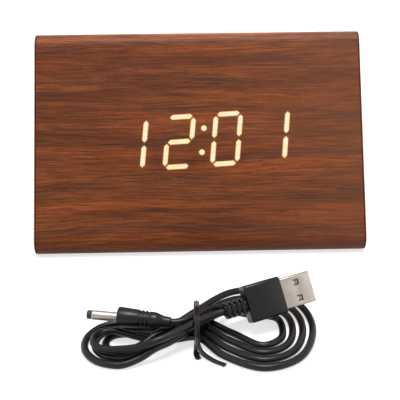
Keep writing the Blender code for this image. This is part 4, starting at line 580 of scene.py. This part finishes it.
caseFilm = {"thickness": 0.5 * mm, "seam": math.radians(5.0), "arcStep": math.radians(3.0),
            "glowReach": 0.24 * mm, "windowGap": 0.01 * mm, "litThickness": 0.04 * mm,
            "cutBehind": -1.5 * mm, "cutProud": 1.5 * mm, "endEdge": 0.15 * mm, "baseEdge": 0.1 * mm,
            "rebateWidth": 108.6 * mm, "rebateHeight": 75.6 * mm, "rebateCorner": 0.6 * mm,
            "rebateBehind": -2.4 * mm}
digitRow = {"pitch": 21.62 * mm, "width": 11.3 * mm, "height": 22.8 * mm, "slant": math.radians(8.5),
            "barWidth": 2.45 * mm, "flatTipGap": 0.6 * mm, "uprightTipGap": 1.0 * mm,
            "dot": 2.85 * mm, "dotSpread": 11.0 * mm, "dotSides": 32,
            "shown": ("bc", "abged", "abcdef", "bc"),
            "places": {"a": (0.0, 0.5, False), "b": (0.5, 0.25, True), "c": (0.5, -0.25, True),
                       "d": (0.0, -0.5, False), "e": (-0.5, -0.25, True), "f": (-0.5, 0.25, True),
                       "g": (0.0, 0.0, False)}}


def arc(centre, radius, start, turn):
    steps = max(1, round(abs(turn) / caseFilm["arcStep"]))
    return [(centre[0] + radius * math.cos(start + turn * k / steps),
             centre[1] + radius * math.sin(start + turn * k / steps)) for k in range(steps + 1)]


def wrapPath(inset):
    # round the front foot, up the front, over the ridge, down the rear and round the rear foot
    radius = caseShape["edgeRadius"] - inset
    centres = [(cornerOut * math.cos(math.radians(a)), inradius + cornerOut * math.sin(math.radians(a)))
               for a in (210, 90, -30)]
    turn = math.radians(120)
    foot = turn - caseFilm["seam"]
    path = arc(centres[0], radius, math.radians(270) - caseFilm["seam"], -foot)
    path += arc(centres[1], radius, math.radians(150), -turn)
    return path + arc(centres[2], radius, math.radians(30), -foot)


def barOutline(upright, spread):
    length = digitRow["height"] / 2 - digitRow["uprightTipGap"]
    if not upright:
        length = digitRow["width"] - digitRow["flatTipGap"]
    half = length / 2 + spread * math.sqrt(2)
    wide = digitRow["barWidth"] / 2 + spread
    outline = [(-half, 0.0), (wide - half, -wide), (half - wide, -wide), (half, 0.0), (half - wide, wide),
               (wide - half, wide)]
    return [(-y, x) for x, y in outline] if upright else outline


def litOutlines(spread):
    # every lit bar and dot, slanted as the digits are
    slope = math.tan(digitRow["slant"])
    outlines = []
    for index, shown in enumerate(digitRow["shown"]):
        centre = (index - (len(digitRow["shown"]) - 1) / 2) * digitRow["pitch"]
        for letter in shown:
            right, up, upright = digitRow["places"][letter]
            up *= digitRow["height"]
            outlines.append([(centre + right * digitRow["width"] + x + (up + y) * slope, up + y)
                             for x, y in barOutline(upright, spread)])
    for up in (-digitRow["dotSpread"] / 2, digitRow["dotSpread"] / 2):
        ring = circle(digitRow["dot"] / 2 + spread, digitRow["dotSides"])
        outlines.append([(up * slope + x, up + y) for x, y in ring])
    return outlines


def makeCase():
    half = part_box("veneer_wrap")[1][0]
    profile = wrapPath(0.0) + wrapPath(caseFilm["thickness"])[::-1]
    shape = addLoft(bmesh.new(), [[(x, y, z) for y, z in profile] for x in (-half, half)])
    wrap = meshObject("caseFilm", shape)
    windows = bmesh.new()
    for outline in litOutlines(caseFilm["glowReach"] + caseFilm["windowGap"]):
        addPrism(windows, outline, caseFilm["cutBehind"], caseFilm["cutProud"])
    windows = meshObject("windowCutter", windows, displayFrame)
    rebate = bmesh.new()
    opening = roundedBox(caseFilm["rebateWidth"], caseFilm["rebateHeight"], caseFilm["rebateCorner"])
    addPrism(rebate, opening, caseFilm["rebateBehind"], caseFilm["cutProud"])
    cutAway(wrap, windows, meshObject("rebateCutter", rebate, rearFrame))
    finished(wrap, "wood_film", ("veneer_wrap",), "root", 30.0)

    rings = ((0.24, 0.0), (0.1, 0.2), (0.0, 0.4), (-0.2, 0.65), (-0.5, 0.9), (-0.8, 1.0), (-1.0, 1.0))
    shape = bmesh.new()
    glow = shape.verts.layers.float.new("glow")
    outlines = [litOutlines(spread * mm) for spread, share in rings]
    for index in range(len(outlines[0])):
        made = []
        for (spread, share), stage in zip(rings, outlines):
            made.append([shape.verts.new((x, y, 0.0)) for x, y in stage[index]])
            for vert in made[-1]:
                vert[glow] = share
        for outer, inner in zip(made, made[1:]):
            for k in range(len(outer)):
                j = (k + 1) % len(outer)
                shape.faces.new((outer[k], outer[j], inner[j], inner[k]))
        shape.faces.new(made[-1])
        under = [shape.verts.new((vert.co.x, vert.co.y, -caseFilm["litThickness"])) for vert in made[0]]
        for k in range(len(under)):
            j = (k + 1) % len(under)
            shape.faces.new((made[0][j], made[0][k], under[k], under[j]))
        shape.faces.new(under[::-1])
    lit = meshObject("litFilm", shape, displayFrame)
    finished(lit, litFinish)
    for side in ("left", "right"):
        dressed(side + "_end_veneer", side + "EndFilm", caseFilm["endEdge"], 2)
    dressed("base_sheet", "baseFilm", caseFilm["baseEdge"], 1)


makeCase()
print("case ready")


# Repeats, made with geometry nodes

def nodeTree(name, inputs):
    # a tree with a geometry input and output and named sizes
    tree = bpy.data.node_groups.new(name, "GeometryNodeTree")
    tree.interface.new_socket("Geometry", in_out="OUTPUT", socket_type="NodeSocketGeometry")
    tree.interface.new_socket("Geometry", in_out="INPUT", socket_type="NodeSocketGeometry")
    for label, kind in inputs.items():
        tree.interface.new_socket(label, in_out="INPUT", socket_type="NodeSocket" + kind)
    given = addNode(tree, "NodeGroupInput")
    return tree, given.outputs


def closeTree(tree, geometry, material):
    whole = addNode(tree, "GeometryNodeRealizeInstances", {0: geometry}).outputs[0]
    dressedUp = addNode(tree, "GeometryNodeSetMaterial", {"Geometry": whole, "Material": material}).outputs[0]
    addNode(tree, "NodeGroupOutput", {0: dressedUp})
    return tree


def baked(thing, tree, values, matrix=None):
    # the tree run on an object, its result kept as a plain mesh in its place
    modifier = thing.modifiers.new(tree.name, "NODES")
    modifier.node_group = tree
    for socket in tree.interface.items_tree:
        if socket.in_out == "INPUT" and socket.name in values:
            modifier[socket.identifier] = values[socket.name]
    applied(thing)
    if matrix is not None:
        thing.data.transform(matrix)
    return thing


def repeatTree():
    # the input shape repeated along a line, each copy a little smaller or larger than the last
    tree, given = nodeTree("repeatAlongLine", {"Count": "Int", "Step": "Vector", "Taper": "Float",
                                               "Material": "Material"})
    line = addNode(tree, "GeometryNodeMeshLine", {"Count": given["Count"], "Offset": given["Step"]}).outputs[0]
    order = addNode(tree, "GeometryNodeInputIndex").outputs[0]
    change = addNode(tree, "ShaderNodeMath", {0: order, 1: given["Taper"]}, operation="MULTIPLY").outputs[0]
    size = addNode(tree, "ShaderNodeMath", {0: change, 1: 1.0}, operation="ADD").outputs[0]
    scale = addNode(tree, "ShaderNodeCombineXYZ", {"X": size, "Y": size, "Z": 1.0}).outputs[0]
    copies = addNode(tree, "GeometryNodeInstanceOnPoints",
                     {"Points": line, "Instance": given["Geometry"], "Scale": scale}).outputs[0]
    return closeTree(tree, copies, given["Material"])


def screwTree():
    # pan-head screws with a cross recess, one at each input point, each stopped at its own angle
    sizes = ("Head Radius", "Head Height", "Shank Radius", "Shank Length", "Recess Length", "Recess Width",
             "Recess Depth")
    tree, given = nodeTree("crossScrews", {**{label: "Float" for label in sizes}, "Material": "Material"})

    def part(kind, height, top, bottom, length):
        place = addNode(tree, "ShaderNodeCombineXYZ", {"Z": height}).outputs[0]
        values = {"Vertices": 40, "Side Segments": 1, "Radius Top": top, "Radius Bottom": bottom,
                  "Depth": length}
        cone = addNode(tree, kind, values).outputs["Mesh"]
        return addNode(tree, "GeometryNodeTransform", {"Geometry": cone, "Translation": place}).outputs[0]

    def arithmetic(operation, first, second):
        return addNode(tree, "ShaderNodeMath", {0: first, 1: second}, operation=operation).outputs[0]

    headHeight = given["Head Height"]
    shoulder = arithmetic("MULTIPLY", headHeight, 0.55)
    crown = arithmetic("MULTIPLY", headHeight, 0.5)
    crownTop = arithmetic("MULTIPLY", given["Head Radius"], 0.72)
    side = part("GeometryNodeMeshCone", 0.0, given["Head Radius"], given["Head Radius"], shoulder)
    dome = part("GeometryNodeMeshCone", arithmetic("MULTIPLY", headHeight, 0.5), crownTop,
                given["Head Radius"], crown)
    below = arithmetic("MULTIPLY", given["Shank Length"], -1.0)
    shankLength = arithmetic("ADD", given["Shank Length"], shoulder)
    shank = part("GeometryNodeMeshCone", below, given["Shank Radius"], given["Shank Radius"], shankLength)
    head = addNode(tree, "GeometryNodeMeshBoolean", {1: side}, operation="UNION", solver="EXACT")
    tree.links.new(dome, head.inputs[1])
    tree.links.new(shank, head.inputs[1])
    slots = []
    for across in (True, False):
        length, width = given["Recess Length"], given["Recess Width"]
        depth = arithmetic("MULTIPLY", given["Recess Depth"], 2.0)
        size = {"X": length if across else width, "Y": width if across else length, "Z": depth}
        cube = addNode(tree, "GeometryNodeMeshCube",
                       {"Size": addNode(tree, "ShaderNodeCombineXYZ", size).outputs[0]}).outputs[0]
        lift = addNode(tree, "ShaderNodeCombineXYZ", {"Z": headHeight}).outputs[0]
        slots.append(addNode(tree, "GeometryNodeTransform", {"Geometry": cube, "Translation": lift}).outputs[0])
    cutOut = addNode(tree, "GeometryNodeMeshBoolean", {0: head.outputs[0], 1: slots[0]},
                     operation="DIFFERENCE", solver="EXACT")
    tree.links.new(slots[1], cutOut.inputs[1])
    spin = addNode(tree, "FunctionNodeRandomValue", {2: 0.0, 3: 3.1, "Seed": 5}, data_type="FLOAT").outputs[1]
    turn = addNode(tree, "ShaderNodeCombineXYZ", {"Z": spin}).outputs[0]
    copies = addNode(tree, "GeometryNodeInstanceOnPoints",
                     {"Points": given["Geometry"], "Instance": cutOut.outputs[0], "Rotation": turn}).outputs[0]
    return closeTree(tree, copies, given["Material"])


alongLine = repeatTree()
crossScrews = screwTree()


# Rear: panel, door, buttons, socket and screws

rearParts = {"panelEdge": 0.25 * mm, "doorEdge": 0.2 * mm, "flatAngle": 20.0, "ridges": 5,
             "ridgeStep": 1.7 * mm, "ridgeLength": 9.0 * mm, "ridgeWidth": 0.8 * mm, "ridgeProud": 0.35 * mm,
             "ridgeFromNotch": 5.4 * mm, "ridgeBelow": -0.4 * mm, "ridgeStraight": 0.15 * mm,
             "ridgeSunk": 0.1 * mm, "ridgeTopShare": 0.4, "socketEdge": 0.15 * mm,
             "button": ((0.0, 0.72), (2.4, 0.8), (3.3, 1.0), (3.75, 0.93), (4.0, 0.68), (4.0, -2.4),
                        (5.0, -2.4), (5.0, -3.2), (1.5, -3.2), (1.5, -5.6), (0.0, -5.6))}
panelScrews = {"Head Radius": 2.2 * mm, "Head Height": 0.85 * mm, "Shank Radius": 1.0 * mm,
               "Shank Length": 2.0 * mm, "Recess Length": 2.5 * mm, "Recess Width": 0.65 * mm,
               "Recess Depth": 0.55 * mm}


def nodeCentre(node):
    low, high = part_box(node)
    return (low + high) / 2


def makeRear():
    # the broad flat faces shade apart from their edge rounds
    dressed("rear_panel", "rearPanel", rearParts["panelEdge"], 2, rearParts["flatAngle"])
    door = dressed("battery_door", "batteryDoor", rearParts["doorEdge"], 2, rearParts["flatAngle"])
    inRear = rearFrame.inverted()
    # five grip ridges above the finger notch, moulded on the door
    doorTop = max((inRear @ vert.co).y for vert in door.data.vertices)
    length, width = rearParts["ridgeLength"], rearParts["ridgeWidth"]
    corners = [(length * right, width * up) for right, up in
               ((-0.5, -0.5), (0.5, -0.5), (0.5, 0.5), (-0.5, 0.5))]
    stages = ((rearParts["ridgeBelow"], 1.0), (rearParts["ridgeStraight"], 1.0),
              (rearParts["ridgeProud"], rearParts["ridgeTopShare"]))
    shape = addLoft(bmesh.new(), [[(x, y * reach, height) for x, y in corners] for height, reach in stages])
    ridge = meshObject("doorRidges", shape)
    baked(ridge, alongLine, {"Count": rearParts["ridges"], "Step": (0.0, -rearParts["ridgeStep"], 0.0),
                             "Taper": 0.0, "Material": finishes["black_plastic"]},
          rearFrame @ Matrix.Translation((0, doorTop - rearParts["ridgeFromNotch"], -rearParts["ridgeSunk"])))
    finished(ridge, "black_plastic", (), "battery_door")
    for name in ("set", "up", "down"):
        centre = inRear @ nodeCentre("button_" + name)
        profile = [(radius * mm, height * mm) for radius, height in rearParts["button"]]
        shape = addTurned(bmesh.new(), profile, 64)
        matrix = rearFrame @ Matrix.Translation((centre.x, centre.y, 0))
        button = meshObject("button_%s_cap" % name, shape, matrix)
        finished(button, "button", ("button_" + name,), "button_" + name, 40.0)
    dressed("dc_jack", "powerSocket", rearParts["socketEdge"], 2)
    dressed("dc_jack_pin", "socketPin", 0.0)
    points = bmesh.new()
    for k in range(4):
        centre = inRear @ nodeCentre("rear_panel_screw_%d" % (k + 1))
        points.verts.new((centre.x, centre.y, 0.0))
    seat = max((inRear @ vert.co).z for vert in nodes["rear_panel_screw_1"].data.vertices)
    screws = meshObject("panelScrews", points)
    baked(screws, crossScrews, {**panelScrews, "Material": finishes["screw"]},
          rearFrame @ Matrix.Translation((0, 0, seat - panelScrews["Head Height"])))
    finished(screws, "screw", ["rear_panel_screw_%d" % (k + 1) for k in range(4)], "root", 30.0)


makeRear()
print("rear ready")


# Plugs of the power lead

usbShape = {"blockWidth": 14.4 * mm, "blockHeight": 7.0 * mm, "blockLength": 15.0 * mm, "edge": 1.2 * mm,
            "reliefLength": 9.0 * mm, "reliefWidth": 6.2 * mm, "reliefHeight": 5.0 * mm, "core": 4.2 * mm,
            "ribs": 4, "gap": 0.3 * mm, "shellWidth": 12.0 * mm, "shellHeight": 4.5 * mm,
            "shellLength": 12.3 * mm, "wall": 0.35 * mm, "shellEdge": 0.6 * mm, "window": 2.3 * mm,
            "windowRight": 3.1 * mm, "windowFromTip": 6.1 * mm, "windowCorner": 0.05 * mm, "tabWidth": 1.5 * mm,
            "edgeShare": 0.4, "blockEnds": ((0.75, 0.0), (0.3, 0.12), (0.08, 0.4), (0.0, 0.8)),
            "coreCorner": 1.4 * mm,
            "coreOverlap": 1.0 * mm, "ribCorner": 1.2 * mm, "ribInset": 0.5 * mm, "ribRamp": 0.16 * mm,
            "ribShare": 0.62, "ribFirstShare": 0.25, "ribTaper": 0.012, "shellUnder": 0.25 * mm,
            "overrun": 1.0 * mm, "seam": (0.3 * mm, 0.12 * mm, 0.03 * mm), "seamUp": -0.9 * mm,
            "shellBevel": 0.06 * mm, "tabBevel": 0.05 * mm, "tabSunk": 0.02 * mm, "tabThickShare": 0.8,
            "tab": ((-0.25, 0.02), (0.5, 0.06), (1.1, 0.45), (1.6, 0.75), (1.95, 0.55)),
            "tongueEdge": 0.05 * mm}
dcShape = {"relief": 5.2 * mm, "grip": 14.8 * mm, "rearRadius": 3.1 * mm, "radius": 4.0 * mm, "end": 1.8 * mm,
           "endEdge": 0.15 * mm, "rings": 3, "ringFirst": 2.6 * mm, "ringStep": 1.5 * mm, "gap": 0.3 * mm,
           "barrel": 1.75 * mm, "bore": 1.1 * mm, "barrelLength": 9.6 * mm, "barrelUnder": 0.2 * mm,
           "barrelNeck": 0.1 * mm, "barrelEnd": 0.25 * mm, "barrelEdge": 0.15 * mm, "tip": 1.65 * mm,
           "tipLength": 1.5 * mm, "tipBore": 0.5 * mm, "tipSleeve": 0.8 * mm, "tipMouth": 0.7 * mm,
           "tipEnd": 0.35 * mm, "tipEdge": 0.25 * mm, "tipSunk": 0.3 * mm,
           "taper": ((0.3, 0.1), (0.55, 0.26), (0.75, 0.5), (0.9, 0.76), (1.0, 0.93), (1.08, 1.0)),
           "ring": ((0.0, 0.0), (0.12, 0.08), (0.25, 0.35), (0.5, 0.35), (0.63, 0.08), (0.75, 0.0)),
           "rim": ((0.7, 0.0), (0.3, 0.1), (0.08, 0.28), (0.0, 0.5))}


def ringAt(outline, depth):
    return [(x, y, depth) for x, y in outline]


def makeUsbPlug():
    plug = plugFrame(usbPlug)
    size = usbShape
    low = size["reliefLength"]
    front = low + size["blockLength"]
    sections = []
    for inset, depth in size["blockEnds"]:
        outline = roundedBox(size["blockWidth"] - 2 * inset * mm, size["blockHeight"] - 2 * inset * mm,
                             size["edge"] - inset * size["edgeShare"] * mm)
        sections.append((outline, depth * mm))
    rings = [ringAt(outline, low + depth) for outline, depth in sections]
    rings += [ringAt(outline, front - depth) for outline, depth in reversed(sections)]
    block = meshObject("usbGrip", addLoft(bmesh.new(), rings), plug)
    core = roundedBox(size["core"], size["core"], size["coreCorner"])
    shape = addLoft(bmesh.new(), [ringAt(core, 0.0), ringAt(core, low + size["coreOverlap"])])
    reliefCore = meshObject("usbReliefCore", shape, plug)
    step = low / (size["ribs"] + 0.5)
    wide = [roundedBox(size["reliefWidth"] - inset, size["reliefHeight"] - inset, size["ribCorner"] - inset / 2)
            for inset in (size["ribInset"], 0.0, 0.0, size["ribInset"])]
    thick = step * size["ribShare"]
    depths = (0.0, size["ribRamp"], thick - size["ribRamp"], thick)
    rib = meshObject("usbReliefRibs", addLoft(bmesh.new(), [ringAt(o, d) for o, d in zip(wide, depths)]))
    baked(rib, alongLine, {"Count": size["ribs"], "Step": (0.0, 0.0, step), "Taper": size["ribTaper"],
                           "Material": finishes["cord"]},
          plug @ Matrix.Translation((0, 0, step * size["ribFirstShare"])))
    finished(block, "cord", ("usb_overmold",), "root", 50.0)
    for thing in (reliefCore, rib):
        finished(thing, "cord")

    base = front + size["gap"]
    tip = base + size["shellLength"]
    outer = roundedBox(size["shellWidth"], size["shellHeight"], size["shellEdge"])
    rings = [ringAt(outer, base - size["shellUnder"]), ringAt(outer, tip)]
    shell = meshObject("usbShell", addLoft(bmesh.new(), rings), plug)
    inner = roundedBox(size["shellWidth"] - 2 * size["wall"], size["shellHeight"] - 2 * size["wall"],
                       size["shellEdge"] - size["wall"] / 2)
    hollow = addPrism(bmesh.new(), inner, base + size["wall"], tip + size["overrun"])
    hollow = meshObject("hollowCutter", hollow, plug)
    holes = bmesh.new()
    for right in (-size["windowRight"], size["windowRight"]):
        middle = tip - size["windowFromTip"]
        outline = roundedBox(size["window"], 2 * size["shellHeight"], size["windowCorner"], 1)
        outline = [(right + x, y) for x, y in outline]
        addPrism(holes, outline, middle - size["window"] / 2, middle + size["window"] / 2)
    # the folded sheet meets along the far side
    seam = [(size["shellWidth"] / 2 + x, size["seamUp"] + y) for x, y in roundedBox(*size["seam"], 1)]
    addPrism(holes, seam, base - size["overrun"], tip + size["overrun"])
    cutAway(shell, hollow, meshObject("windowCutters", holes, plug))
    bevelled(shell, size["shellBevel"], 2)
    finished(shell, "plug_metal", ("usb_shell",), "root", 40.0)
    # a sprung tab in each window, hinged at the window's rear and dipping inwards
    tabs = bmesh.new()
    for side in (-1, 1):
        for right in (-size["windowRight"], size["windowRight"]):
            rear = tip - size["windowFromTip"] - size["window"] / 2
            face = side * size["shellHeight"] / 2
            rings = []
            for along, drop in size["tab"]:
                half = size["tabWidth"] / 2
                top = face - side * (drop * mm + size["tabSunk"])
                under = top - side * size["wall"] * size["tabThickShare"]
                depth = rear + along * mm
                rings.append([(right - half, top, depth), (right + half, top, depth),
                              (right + half, under, depth), (right - half, under, depth)])
            addLoft(tabs, rings)
    tabs = meshObject("usbSpringTabs", tabs, plug)
    bevelled(tabs, size["tabBevel"], 1)
    finished(tabs, "plug_metal")
    dressed("usb_tongue", "usbTongue", size["tongueEdge"], 1)
    return ["usbGrip", "usbReliefCore", "usbReliefRibs", "usbShell", "usbSpringTabs", "usbTongue"]


def makeDcPlug():
    plug = plugFrame(dcPlug)
    size = dcShape
    front = size["relief"] + size["grip"]

    def gripRadius(height):
        share = (height - size["relief"]) / size["grip"]
        return size["rearRadius"] + (size["radius"] - size["rearRadius"]) * share

    profile = [(0.0, 0.0), (size["end"] - size["endEdge"], 0.0), (size["end"], size["endEdge"])]
    # the relief: a plain taper that flares into the grip
    for share, swell in size["taper"]:
        profile.append((size["end"] + (size["rearRadius"] - size["end"]) * swell, size["relief"] * share))
    for k in range(size["rings"]):
        start = size["relief"] + size["ringFirst"] + k * size["ringStep"]
        for along, sunk in size["ring"]:
            height = start + along * size["ringStep"]
            profile.append((gripRadius(height) - sunk * mm, height))
    for drop, inset in size["rim"]:
        profile.append((size["radius"] - inset * mm, front - drop * mm))
    profile.append((0.0, front))
    grip = meshObject("dcGrip", addTurned(bmesh.new(), profile, 72), plug)
    finished(grip, "cord", ("dc_plug_grip",), "root", 32.0)
    base = front + size["gap"]
    end = base + size["barrelLength"]
    profile = [(size["bore"], base - size["barrelUnder"]),
               (size["barrel"] - size["barrelNeck"], base - size["barrelUnder"]),
               (size["barrel"], base), (size["barrel"], end - size["barrelEnd"]),
               (size["barrel"] - size["barrelEdge"], end), (size["bore"], end)]
    barrel = meshObject("dcBarrel", addTurned(bmesh.new(), profile, 64, closed=True), plug)
    finished(barrel, "plug_metal", ("dc_plug_barrel",), "root", 30.0)
    collar = end + size["gap"]
    tip = collar + size["tipLength"]
    profile = [(size["tipBore"], base), (size["tipSleeve"], base), (size["tipSleeve"], collar),
               (size["tip"], collar), (size["tip"], tip - size["tipEnd"]), (size["tip"] - size["tipEdge"], tip),
               (size["tipMouth"], tip), (size["tipBore"], tip - size["tipSunk"])]
    insulator = meshObject("dcTip", addTurned(bmesh.new(), profile, 48, closed=True), plug)
    finished(insulator, "black_plastic", ("dc_plug_insulator",), "root", 30.0)
    return ["dcGrip", "dcBarrel", "dcTip"]


# Tie: a flat strap round the waist of the hank, twisted shut, with two tails

tieShape = {"width": 2.2 * mm, "thickness": 0.8 * mm, "bead": 0.42 * mm, "wingShare": 0.3,
            "beadAngles": (0.9, 1.3, math.pi / 2, 1.84, 2.24),
            "loop": ((-119.0, 0.5), (-112.5, 0.5), (-106.2, 0.5), (-103.9, 1.8), (-102.2, 4.8), (-102.7, 7.8),
                     (-106.6, 9.5), (-110.2, 10.8), (-113.6, 11.9), (-117.2, 12.15), (-120.6, 12.0),
                     (-122.4, 10.4), (-122.75, 6.2), (-122.6, 2.9), (-121.7, 0.8)),
            "longTail": ((-2.7, -122.5, 4.8), (-2.6, -124.8, 3.2), (-1.4, -127.0, 1.6), (2.6, -131.0, 0.7),
                         (7.2, -134.4, 0.7)),
            "shortTail": ((-2.7, -122.6, 2.8), (-3.0, -124.9, 1.3), (-3.1, -127.2, 0.7), (-2.4, -130.2, 0.7)),
            "lowest": 0.57 * mm}


def strapSection():
    # thin wings either side of a round bead that holds the wire
    half, thin = tieShape["width"] / 2, tieShape["thickness"] * tieShape["wingShare"]
    bead = tieShape["bead"]
    upper = [(half, 0.0), (half * 0.9, thin * 0.8), (bead * 1.2, thin)]
    upper += [(bead * math.cos(angle), thin * 0.4 + bead * math.sin(angle)) for angle in tieShape["beadAngles"]]
    upper += [(-bead * 1.2, thin), (-half * 0.9, thin * 0.8), (-half, 0.0)]
    return upper + [(x, -y) for x, y in upper[-2:0:-1]]


def makeTie():
    section = strapSection()
    loop = [Vector((lead["waist"], y, z)) * mm for y, z in tieShape["loop"]]
    samples = 10
    around = smoothRoute(loop[-1:] + loop + loop[:2], samples)[samples:-samples - 1]
    tails = [smoothRoute([Vector(place) * mm for place in tieShape[name]], samples)
             for name in ("longTail", "shortTail")]
    for point in around + tails[0] + tails[1]:
        point.z = max(point.z, tieShape["lowest"])
    shape = addSweep(bmesh.new(), around, Vector((1, 0, 0)), section, closed=True)
    for tail in tails:
        addSweep(shape, tail, Vector((1, 0.4, 0)), section)
    tie = meshObject("twistTie", shape)
    finished(tie, "tie", ("twist_tie",), "root", 50.0)
    return ["twistTie"]


def makeLead():
    data = bpy.data.curves.new("powerLead", "CURVE")
    data.dimensions = "3D"
    data.bevel_depth = lead["radius"] * mm
    data.bevel_resolution = 6
    data.use_fill_caps = True
    spline = data.splines.new("POLY")
    spline.points.add(len(cableRoute) - 1)
    for target, point in zip(spline.points, cableRoute):
        target.co = (*point, 1.0)
    spline.use_smooth = True
    data.materials.append(finishes["cord"])
    cable = bpy.data.objects.new("powerLead", data)
    bpy.context.scene.collection.objects.link(cable)
    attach(cable, "root")
    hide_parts("cord_hank", "usb_lead", "dc_lead")
    return cable


onLead = makeUsbPlug() + makeDcPlug() + makeTie()
cable = makeLead()
print("power lead ready")


# Floor, light and colour

studio = {"floor": 6.0, "ambient": 0.26, "floorLift": 0.68, "floorTone": "#BEBEBE",
          "lamps": (("overhead", (0.03, -0.16, 1.0), 0.5, 8.4), ("fromLeft", (-0.9, -0.6, 0.5), 0.5, 1.3),
                    ("fromRight", (0.9, -0.5, 0.5), 0.5, 1.1), ("behind", (0.2, 1.0, 0.3), 0.5, 2.2))}


def directlySeen(tree):
    # 1 for rays from the camera, a mirror or clear plastic, 0 for light that falls on the clock
    path = addNode(tree, "ShaderNodeLightPath").outputs
    seen = path["Is Camera Ray"]
    for ray in ("Is Glossy Ray", "Is Transmission Ray"):
        seen = addNode(tree, "ShaderNodeMath", {0: seen, 1: path[ray]}, operation="MAXIMUM").outputs[0]
    return seen


def makeStudio():
    scene = bpy.context.scene
    half = studio["floor"] / 2
    shape = bmesh.new()
    shape.faces.new([shape.verts.new(corner) for corner in
                     ((-half, -half, 0), (half, -half, 0), (half, half, 0), (-half, half, 0))])
    floor = meshObject("studioFloor", shape, tidyNormals=False)
    material, tree, shader = newMaterial("paper_white", Roughness=0.9, Emission_Color=(1, 1, 1, 1))
    shader.inputs["Base Color"].default_value = hexColour(studio["floorTone"])
    lift = stretched(tree, directlySeen(tree), 0.0, 1.0, 0.0, studio["floorLift"])
    tree.links.new(lift, shader.inputs["Emission Strength"])
    floor.data.materials.append(material)
    world = bpy.data.worlds.new("studioWorld")
    scene.world = world
    world.use_nodes = True
    tree = world.node_tree
    background = tree.nodes["Background"]
    background.inputs["Color"].default_value = (1, 1, 1, 1)
    strength = stretched(tree, directlySeen(tree), 0.0, 1.0, studio["ambient"], 1.0)
    tree.links.new(strength, background.inputs["Strength"])
    for name, place, size, power in studio["lamps"]:
        data = bpy.data.lights.new(name, "AREA")
        data.shape, data.size, data.energy = "DISK", size, power
        lamp = bpy.data.objects.new(name, data)
        lamp.location = place
        lamp.rotation_euler = (Vector((0, -0.03, 0.04)) - Vector(place)).to_track_quat("-Z", "Y").to_euler()
        scene.collection.objects.link(lamp)
    scene.view_settings.view_transform = "Standard"


makeStudio()
print("studio ready")
